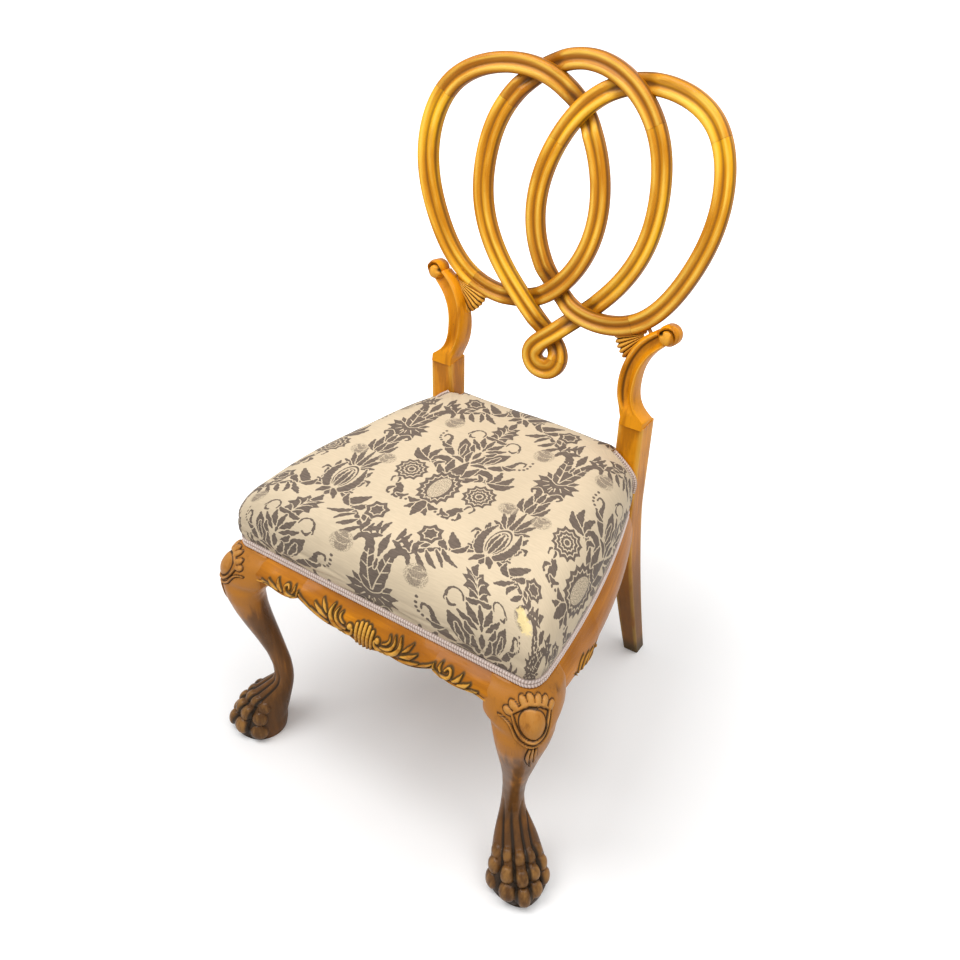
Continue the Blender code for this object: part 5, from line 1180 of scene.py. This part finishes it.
DRAWN = ((draw_blooms, COLUMN_HEADS, COLUMN), (draw_leaves, COLUMN_LEAVES, COLUMN),
         (draw_blooms, COLUMN_BLOOMS, COLUMN), (scratch_veins, COLUMN_VEINS, COLUMN),
         (draw_leaves, PINEAPPLE, COLUMN), (draw_blooms, BOUQUET_HEADS, BOUQUET),
         (scratch_veins, BOUQUET_VEINS, BOUQUET), (draw_leaves, BOUQUET_LEAVES, BOUQUET),
         (draw_blooms, BOUQUET_BLOOMS, BOUQUET), (draw_leaves, BOUQUET_TAIL, BOUQUET))


def damask(a, b):
    """Figure and lace, 0 to 1 each, for places (a, b) of the flat cloth."""
    figure, lace = np.zeros(a.shape), np.zeros(a.shape)
    for drop in (0, 1):
        across, rows = folded(a, b, drop)
        ink = np.zeros(a.shape)
        for draw, shapes, down in DRAWN:
            ink = draw(ink, across, rows, shapes, down)
        for flat in BOUQUET_DOTS:
            for u, v in spline(np.arange(3), np.reshape(flat, (-1, 2)), np.linspace(0, 2, 6)):
                ink = np.maximum(ink, 1 - ease(polar(across, rows, u, v, DOT, DOT)[0], 0.85, 1.15))
        for u, v, wide, long in BOUQUET_LACE:
            inside = 1 - ease(polar(across, rows, u, v, wide, long)[0], 0.94, 1.04)
            ink, lace = ink * (1 - inside), np.maximum(lace, inside)
        for u, v, wide, long in COLUMN_LACE:
            lace = np.maximum(lace, 1 - ease(polar(across, rows, u, v + COLUMN, wide, long)[0], 0.90, 1.0))
        figure = np.maximum(figure, ink)
    return figure, lace


# %% [markdown]
# ## Seat
# Hair stuffing over webbing gives the seat its high, round edge; the cover is pulled over it, pinned along the
# polished wood and cut out round the two posts. The surface is a stack of rings: a wall that bulges a little, a
# quarter round and a crown that is almost level. Each ring is the outline drawn in towards the middle. The pattern
# is laid as on flat cloth: level on top, and counted on by the length of cloth that goes over the edge.

# %% Rings of the seat
CORNER_ROUND, POST_NOTCH = 0.020, 0.0035
SEAT_FOOT, POST_FOOT, SEAT_UNDER = 0.3872, 0.4132, 0.4169      # lower edge of the cover, at the posts, and underside
SEAT_EDGE, SEAT_ROUND, SEAT_CROWN = 0.438, 0.060, 0.505        # top of the wall, quarter round, top of the crown
SEAT_HALF = 0.230                                  # the rings are drawn in over this distance
SEAT_BULGE, SEAT_DROOP, DROOP_FROM = 0.004, 0.014, 0.2
SEAT_MIDDLE_Y, SEAT_HOLE = POST_FRONT_Y / 2, 0.004
SIDE_FROM, SIDE_TO = 0.026, 0.383                  # where the outline follows the side's line
POST_EDGES = (0.452, 0.474, 0.488, 0.476, 0.450)
TONGUE = POST_OUTER_X - POST_WIDE - POST_NOTCH     # half width of the seat between the posts


def seat_outline(count):
    """Outline from the front's middle round to it again: x, y, height of the lower edge, height of the wall's top."""
    rear, back = POST_FRONT_Y - POST_NOTCH, POST_FRONT_Y + POST_DEEP
    bend = np.radians(np.linspace(-90, 0, 10))
    corner = join(CORNER_X - CORNER_ROUND + CORNER_ROUND * np.cos(bend), CORNER_ROUND * (1 + np.sin(bend)))
    y = np.linspace(SIDE_FROM, SIDE_TO, 40)
    free = np.vstack([[(0.0, 0.0)], corner, join(side_x(y), y)])
    tied = np.array(((side_x(rear), rear), ((side_x(rear) + TONGUE) / 2, rear), (TONGUE, rear),
                     (TONGUE, (rear + back) / 2), (TONGUE, back)))
    last = np.array(((TONGUE - 0.007, back), (0.0, back)))
    foot = np.repeat((SEAT_FOOT, POST_FOOT, SEAT_FOOT), (len(free), len(tied), len(last)))
    top = np.concatenate([np.full(len(free), SEAT_EDGE), POST_EDGES, np.full(len(last), SEAT_EDGE)])
    half = np.column_stack([np.vstack([free, tied, last]), foot, top])
    closed = np.vstack([half, half[-2::-1] * (-1, 1, 1, 1)])
    run = run_along(closed[:, :2])
    ring = between(np.linspace(0, run[-1], count, endpoint=False), run, closed)
    for _ in range(count // 400):
        ring = (np.roll(ring, 1, axis=0) + 2 * ring + np.roll(ring, -1, axis=0)) / 4
    return ring


def ring_normals(ring, softness):
    """Outward directions of a closed outline, averaged over some neighbours."""
    dx, dy = (np.roll(ring[:, :2], -1, axis=0) - np.roll(ring[:, :2], 1, axis=0)).T
    return unit(soften(np.vstack([unit(join(dy, -dx))] * 3), softness)[len(ring):2 * len(ring)])


def drawn_in(ring, share):
    """x and y of the outline drawn in towards the seat's middle."""
    return share * ring[:, 0], SEAT_MIDDLE_Y + share * (ring[:, 1] - SEAT_MIDDLE_Y)


def seat_surface(count, wall_rows, round_rows, top_rows):
    """Points of wall, quarter round and crown; the row where the crown starts; the outline."""
    ring = seat_outline(count)
    foot, top = ring[:, 2], ring[:, 3]
    held = ease(top, SEAT_EDGE, SEAT_EDGE + 0.012)
    up = np.linspace(0, 1, wall_rows)[:, None]
    bulge = spline((0, 0.236, 0.646, 1), (-0.1, -0.05, 1, 0.35), up[:, 0])[:, None]
    turn = np.linspace(0, math.pi / 2, round_rows)[1:]
    level = np.linspace(SEAT_ROUND, SEAT_HALF - SEAT_HOLE, top_rows)[1:]
    inset = np.concatenate([SEAT_ROUND * (1 - np.cos(turn)), level])[:, None]
    high = SEAT_EDGE + SEAT_ROUND * np.sin(np.arccos(np.maximum(1 - inset / SEAT_ROUND, 0)))
    high = high + (SEAT_CROWN - SEAT_EDGE - SEAT_ROUND) * inset / SEAT_HALF
    soft = 0.5 * (top - SEAT_EDGE) * (1 - ease(inset, 0.03, 0.12))
    z = np.vstack([foot + (top - foot) * up, (top + high + np.sqrt((top - high) ** 2 + soft ** 2)) / 2])
    swelled = np.vstack([bulge, 0.35 * (1 - ease(inset, 0, 0.006))])
    swelled = swelled * (1 - held) + np.minimum(swelled, 0) * held
    x, y = drawn_in(ring, np.vstack([1 + 0 * up, 1 - inset / SEAT_HALF]) + SEAT_BULGE * swelled / CORNER_X)
    z = z - SEAT_DROOP * np.maximum(1 - y / DROOP_FROM, 0) ** 2 * (z - foot) / (SEAT_CROWN - foot)
    return join(x, y, z), wall_rows + round_rows - 2, ring


def flat_cloth(points, crown, ring):
    """Places on the flat cloth: the crown as it lies, and outside it the length of cloth along each column."""
    a, b = points[..., 0].copy(), points[..., 1].copy()
    steps = np.linalg.norm(np.diff(points[:crown + 1], axis=0), axis=-1)
    over = np.cumsum(steps[::-1], axis=0)[::-1]
    normal = ring_normals(ring, len(ring) / 60)
    a[:crown] = a[crown] + over * normal[:, 0]
    b[:crown] = b[crown] + over * normal[:, 1]
    return a, b


points, crown, ring = seat_surface(1480, 46, 84, 140)
a, b = flat_cloth(points, crown, ring)
figure, lace = damask(a, b)
print("seat grid", points.shape[:2], "figure covers", round(float(figure.mean()), 3))

# %% [markdown]
# ## Cover
# The cloth's colours come from the figure: cream satin, grey-brown figure, and a mid tone where the two mix in the
# lace. Fine noise along the threads keeps it from looking painted. The stuffing shows as a slight unevenness, and
# the cloth is pulled over the front edge in a few long, shallow folds that run along the braid.

# %% Cover
THREADS, SLUBS, LEVEL_ONLY = (2600.0, 500.0, 1.0), (60.0, 420.0, 1.0), (1.0, 1.0, 0.0)
# folds: height above the braid, its drift, wave length, phase
FOLDS = ((0.016, 0.004, 0.31, 0.4), (0.025, 0.005, 0.23, 2.1), (0.036, 0.006, 0.37, 4.0))
FOLD_WIDE, FOLD_DEEP, LUMP_HIGH = 0.0030, 0.0019, 0.0009
STAIN, STAIN_WIDE = (0.225, 0.010), 0.024


def shade(colour, factor):
    """A lighter or darker tone of a colour."""
    return tuple(factor * c for c in colour)


def cloth(name, ground, ink, faded):
    """Figure and lace pick the colour, threads vary it, rubbed places fade to yellow, folds are darkened with painted
    shade.
    """
    made = Finish(name, {"Roughness": 0.78, "Sheen Weight": 0.12, "Sheen Roughness": 0.4, "Specular IOR Level": 0.25})
    thread = made.vector("grain")
    fine, slub = made.streaks(thread, THREADS), made.streaks(thread, SLUBS, 2.0)
    soil = made.noise(made.place(), 9.0, 3.0, 0.6)
    light = made.mix(made.step(slub * 0.5 + soil * 0.5, 0.30, 0.72), shade(ground, 0.86), ground)
    dark = made.mix(made.step(slub, 0.30, 0.70), shade(ink, 0.85), shade(ink, 1.18))
    figure = made.step(made.value("figure") + (fine - 0.5) * 0.20, 0.38, 0.62)
    net = made.step(made.streaks(thread, LEVEL_ONLY, scale=620.0), 0.44, 0.56) * made.value("lace")
    colour = made.mix(net * 0.55, light, ink)
    colour = made.mix(figure * (1.0 - made.value("lace") * 0.45), colour, dark)
    rubbed_and_sheen = made.step(made.value("worn") + (made.noise(made.place(), 95.0, 3.0, 0.7) - 0.5) * 1.3, 0.42, 0.62)
    colour = made.mix(rubbed_and_sheen * 0.75, colour, faded)
    # Painted shade in the folds, towards a dark tone of the ground.
    made.feed("Base Color", made.mix(made.value("hollow") * 0.5, colour, shade(ground, 0.35)))
    made.bump(fine * 0.6 + figure * 0.5 + slub * 0.5, 0.00025, 0.4)
    return made.material


FINISHES["damask_cover"] = cloth("damask", (0.640, 0.520, 0.360), (0.132, 0.099, 0.076), (0.830, 0.660, 0.300))

rise = points[..., 2] - ring[:, 2]
front = np.maximum(-ring_normals(ring, 12.0)[:, 1], 0) ** 2
folds = np.zeros(points.shape[:2])
for height, drift, length, phase in FOLDS:
    wave = 2 * math.pi * points[..., 0] / length + phase
    line = height + drift * np.sin(wave)
    folds += bell(rise, line, FOLD_WIDE) * (0.55 + 0.45 * np.sin(1.7 * wave + phase))
lumps = np.sin(23 * a + 1.0) * np.sin(19 * b + 0.5) + 0.6 * np.sin(41 * a + 31 * b)
on_top = ease(rise, 0.040, 0.090)
points = points + outward(points) * (LUMP_HIGH * lumps * on_top - FOLD_DEEP * folds * front)[..., None]
stain = 0.85 * bell(a, STAIN[0], STAIN_WIDE) * bell(b, STAIN[1], STAIN_WIDE)

share = np.append((0.02, 0.35, 0.70, 0.90), 1 - np.array((0.0060, 0.0045, 0.0030)) / SEAT_HALF)[:, None]
under = join(*drawn_in(ring, share), np.where(share < share[-1], SEAT_UNDER, ring[:, 2] + 0.0004))
pad = ((len(share), 0), (0, 0))
# The folds on the front are darkened: painted shade.
grid = {"points": np.vstack([under, points]), "figure": np.pad(figure, pad), "lace": np.pad(lace, pad),
        "worn": np.pad(stain, pad), "grain": np.pad(join(a, b, 0.0), pad + ((0, 0),)),
        "hollow": np.pad(np.clip(0.42 * folds * front, 0, 1), pad)}
seat = piece("seat_pad", [grid], "damask_cover", ["seat_cover", "seat_stuffing"], sharp=80)

# %% [markdown]
# ## Braid
# A narrow braid of two twisted cords hides the tacks along the polished wood and round each post. It is one band
# carried along the cover's foot: across it two half rounds, along it the bulges of the twist, slanting one way in
# the upper cord and the other way in the lower one.

# %% Braid
GIMP_HIGH, GIMP_LIFT, TWIST = 0.0150, 0.0006, 0.0040
GIMP_POST_HIGH, GIMP_POST_DROP = 0.008, 0.005
CORD_BASE, CORD_HIGH, CORD_TWIST, GIMP_BACK = 0.0006, 0.0010, 0.0009, 0.0003
FRONT_PATH_END, BACK_PATH_START = 0.392, 0.430     # the braid leaves out the posts between these depths


def trim(name, light, dark):
    """Light crests, dark valleys in painted shade, and fine specks."""
    made = Finish(name, {"Roughness": 0.7, "Sheen Weight": 0.15, "Specular IOR Level": 0.25})
    hollow = made.value("hollow")
    spots = made.noise(made.place(), 700.0, 1.0)
    made.feed("Base Color", made.mix(made.step(hollow + (spots - 0.5) * 0.5, 0.15, 0.85), light, dark))
    return made.material


FINISHES["gimp"] = trim("braid", (0.880, 0.740, 0.670), (0.420, 0.310, 0.260))


def braid(name, path, wide, out, width):
    """path + v * width along wide + depth along out, where depth is two half rounds with slanting bulges."""
    run = run_along(path)[:, None]
    v = np.linspace(0, 1, 23)
    lower, upper = (v - 0.25) / 0.25, (v - 0.75) / 0.25
    lobes = np.maximum(dome(lower), dome(upper))
    slant = np.where(v < 0.5, 1.6 * lower, -1.6 * upper)
    twist = 0.5 + 0.5 * np.cos(2 * math.pi * run / TWIST + slant)
    depth = CORD_BASE + lobes * (CORD_HIGH + CORD_TWIST * twist)
    v, depth = np.append(v, (1.0, 0.0)), np.pad(depth, ((0, 0), (0, 2)), constant_values=GIMP_BACK)
    # Painted shade between the two cords and in the valleys of the twist.
    hollow = np.pad(1 - lobes * (0.35 + 0.65 * twist), ((0, 0), (0, 2)))
    points = path[:, None] + wide[:, None] * (v * width)[None, :, None] + out[:, None] * depth[..., None]
    print("braid of", round(float(run[-1, 0]), 3), "m")
    piece(name + "_braid", [{"points": points, "hollow": hollow}], "gimp", [name], sharp=80)


dense = seat_outline(2400)
free = np.abs(dense[:, 2] - SEAT_FOOT) < 0.0015
from_back = np.roll(dense, len(dense) // 2, axis=0)[np.roll(free, len(dense) // 2)]
for name, path in (("gimp_front", from_back[from_back[:, 1] < FRONT_PATH_END]),
                   ("gimp_back", dense[free & (dense[:, 1] > BACK_PATH_START)])):
    dx, dy = np.gradient(path[:, :2], axis=0).T
    braid(name, join(*path[:, :2].T, SHOW_TOP + GIMP_LIFT), join(0 * dx, 0.0, 1.0), unit(join(dy, -dx, 0.0)), GIMP_HIGH)
inner_x, outer_x = POST_OUTER_X - POST_WIDE, float(side_x(POST_FRONT_Y - POST_NOTCH))
knots = np.array(((outer_x, 0.4264), (outer_x, 0.452), ((outer_x + inner_x) / 2, 0.474), (inner_x, 0.488)))
line = spline(np.arange(4), knots, np.linspace(0, 3, 90))
dx, dz = unit(np.gradient(line, axis=0)).T
for hand, side in HANDS:
    inside = join(-hand * dz, 0.0, dx)
    path = join(hand * line[:, 0], POST_FRONT_Y - FIT, line[:, 1]) - GIMP_POST_DROP * inside
    braid("gimp_post_" + side, path, inside, join(0 * dx, -1.0, 0.0), GIMP_POST_HIGH)

# %% [markdown]
# ## Webbing and hessian
# Six jute straps are woven over and under across the frame, with a coarse hessian cloth on them that keeps the hair
# in. They are only seen from below. Straps and cloth are thin grids that a Solidify modifier makes as thick as the
# real ones.

# %% Webbing and hessian
WEB_WIDE, WEB_THICK, WEB_Z, WEB_WAVE = 0.050, 0.0014, 0.4133, 0.0009
WEB_FRONT_Y, WEB_BACK_Y = 0.008, 0.417       # ends of the long straps
WEB_END = 0.008                              # the cross straps end this far inside the side's line
HESSIAN_Z, HESSIAN_THICK, HESSIAN_INSET, HESSIAN_BACK = 0.4160, 0.0010, 0.0065, 0.430
LONG_X, CROSS_Y = (-0.1, 0.0, 0.1), (0.105, 0.210, 0.315)
LONG_APART, CROSS_APART = 0.1, 0.105


def coarse(name, light, dark, count):
    """Plain weave: two noises stretched along warp and weft."""
    made = Finish(name, {"Roughness": 0.9, "Specular IOR Level": 0.2})
    warp, weft = (made.streaks(made.place(), f) for f in ((count, 40.0, 40.0), (40.0, count, 40.0)))
    made.feed("Base Color", made.mix(made.step(warp + weft, 0.75, 1.25), dark, light))
    made.bump(warp + weft, 0.0004, 0.6)
    return made.material


FINISHES["jute_web"] = coarse("jute", (0.430, 0.290, 0.150), (0.210, 0.130, 0.060), 700.0)
FINISHES["hessian_cloth"] = coarse("hessian", (0.520, 0.380, 0.220), (0.260, 0.170, 0.090), 1100.0)


def thin_sheet(name, points, slot, node, thick):
    """An open grid with its thickness added by a modifier."""
    made = piece(name, [{"points": points, "open": True}], slot, [node], sharp=80)
    layer = made.modifiers.new("thickness", "SOLIDIFY")
    layer.thickness, layer.offset = thick, 0.0


def over_under(place, start, apart, left):
    """Waves over and under the crossing straps, and level where little is left to the strap's end."""
    return WEB_WAVE * np.cos(math.pi * (place - start) / apart) * ease(left, 0.03, 0.06)


across = np.linspace(-WEB_WIDE / 2, WEB_WIDE / 2, 12)
for k, x in enumerate(LONG_X):
    y = np.linspace(WEB_FRONT_Y, WEB_BACK_Y, 110)[:, None]
    wave = (-1) ** k * over_under(y, CROSS_Y[0], CROSS_APART, np.minimum(y, WEB_FRONT_Y + WEB_BACK_Y - y))
    thin_sheet("strap_long_%d" % (k + 1), join(x + across, y, WEB_Z + wave), "jute_web", "web_long_%d" % (k + 1),
               WEB_THICK)
for k, y in enumerate(CROSS_Y):
    reach = float(side_x(y + WEB_WIDE / 2)) - WEB_END
    x = np.linspace(-reach, reach, 120)[:, None]
    wave = -(-1) ** k * over_under(x, LONG_X[0], LONG_APART, reach - np.abs(x))
    thin_sheet("strap_cross_%d" % (k + 1), join(x, y + across, WEB_Z + wave), "jute_web", "web_cross_%d" % (k + 1),
               WEB_THICK)
y = np.linspace(HESSIAN_INSET, HESSIAN_BACK, 90)[:, None]
rear = POST_FRONT_Y - POST_NOTCH - HESSIAN_INSET
half = np.where(y < rear, side_x(np.minimum(y, rear)), TONGUE) - HESSIAN_INSET
thin_sheet("hessian_cloth", join(half * np.linspace(-1, 1, 90), y, HESSIAN_Z), "hessian_cloth", "hessian",
           HESSIAN_THICK)

# %% [markdown]
# ## Hidden woodwork
# Back rail, corner blocks, pegs and screws keep their CAD shapes. They get plain finishes on Object coordinates:
# planed wood with long streaks, and grey steel.

# %% Finishes of the CAD pieces
PLANED = (8.0, 130.0, 130.0)


def planed(name, dark, light, gloss):
    """Noise stretched along the width of the chair."""
    made = Finish(name, {"IOR": 1.5})
    streak = made.streaks(made.place(), PLANED, 4.0, 0.6)
    made.feed("Base Color", made.mix(made.step(streak, 0.30, 0.70), dark, light))
    made.feed("Roughness", streak * 0.15 + gloss)
    return made.material


plain = planed("honey_plain", (0.330, 0.120, 0.010), (0.560, 0.230, 0.020), 0.24)
sawn = planed("sawn_wood", (0.300, 0.190, 0.090), (0.480, 0.330, 0.170), 0.60)
steel = Finish("dull_steel", {"Metallic": 1.0})
scratch = steel.noise(steel.place(), 400.0, 2.0)
steel.feed("Base Color", steel.mix(scratch, (0.30, 0.29, 0.28), (0.45, 0.44, 0.43)))
steel.feed("Roughness", scratch * 0.2 + 0.3)
KEPT = (("back_rail", plain), ("corner_block", sawn), ("post_peg", plain), ("ribbon_peg", plain),
        ("screw", steel.material))
for name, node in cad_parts.items():
    for start, finish in KEPT:
        if name.startswith(start):
            node.data.materials.clear()
            node.data.materials.append(finish)
print("CAD pieces kept:", sum(name.startswith(tuple(k for k, _ in KEPT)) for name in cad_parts))

# %% [markdown]
# ## Light and floor
# Two soft lamps, one over the front left and one over the right, and a pale world light the chair evenly, as in a
# studio. For the camera the floor also glows, a painted light that is weak near the chair and full from 1.4 m out, so
# that the far floor is white and the chair's own shadow shows round it.

# %% Stage
WORLD_LIGHT, FLOOR_REACH, FLOOR_DROP = 0.48, 30.0, 0.0005


def lamp(name, place, aim, size, power):
    """A square soft lamp at a place, turned towards an aim."""
    made = add(name, bpy.data.lights.new(name, "AREA"))
    made.data.size, made.data.energy = size, power
    back = unit(np.array(place, float) - aim)
    side = unit(np.cross((0.0, 1.0, 0.0), back))
    made.matrix_world = pose(side, np.cross(back, side), back, place)


lamp("key", (-0.8, -0.9, 2.7), (0, 0, 0.5), 1.6, 44)
lamp("top", (0.85, 0.15, 2.6), (0, 0, 0.4), 1.8, 34)

sky = Finish("studio", {"Color": (1, 1, 1, 1)}, bpy.data.worlds, "Background")
seen, *others = (sky.node("ShaderNodeLightPath", {}, {}, "Is %s Ray" % ray)
                 for ray in ("Camera", "Glossy", "Transmission"))
for ray in others:
    seen = seen.maths("MAXIMUM", seen, ray)
sky.feed("Strength", sky.node("ShaderNodeMapRange", {}, {0: seen, 3: WORLD_LIGHT, 4: 1.0}))
bpy.context.scene.world = sky.material

paper = Finish("pale_floor", {"Roughness": 0.9, "Specular IOR Level": 0.1, "Base Color": (0.86, 0.86, 0.86, 1),
                              "Emission Strength": 1.0})
camera_ray = paper.node("ShaderNodeLightPath", {}, {}, "Is Camera Ray")
away = paper.node("ShaderNodeVectorMath", {"operation": "LENGTH"}, {0: paper.place()}, "Value")
# Painted light: the floor glows for the camera only, weakly near the chair and fully from 1.4 m out.
camera_glow = paper.mix(paper.step(away, 0.40, 1.4), (0.12, 0.12, 0.12), (1, 1, 1))
paper.feed("Emission Color", paper.mix(camera_ray, (0, 0, 0), camera_glow))
floor_mesh = bpy.data.meshes.new("floor")
floor_mesh.from_pydata([(x * FLOOR_REACH, y * FLOOR_REACH, 0) for x, y in ((-1, -1), (1, -1), (1, 1), (-1, 1))], [],
                       [(0, 1, 2, 3)])
floor_mesh.materials.append(paper.material)
floor = add("floor", floor_mesh)
floor.location.z = -FLOOR_DROP
bpy.context.scene.view_settings.view_transform = "Standard"
print("stage is lit")
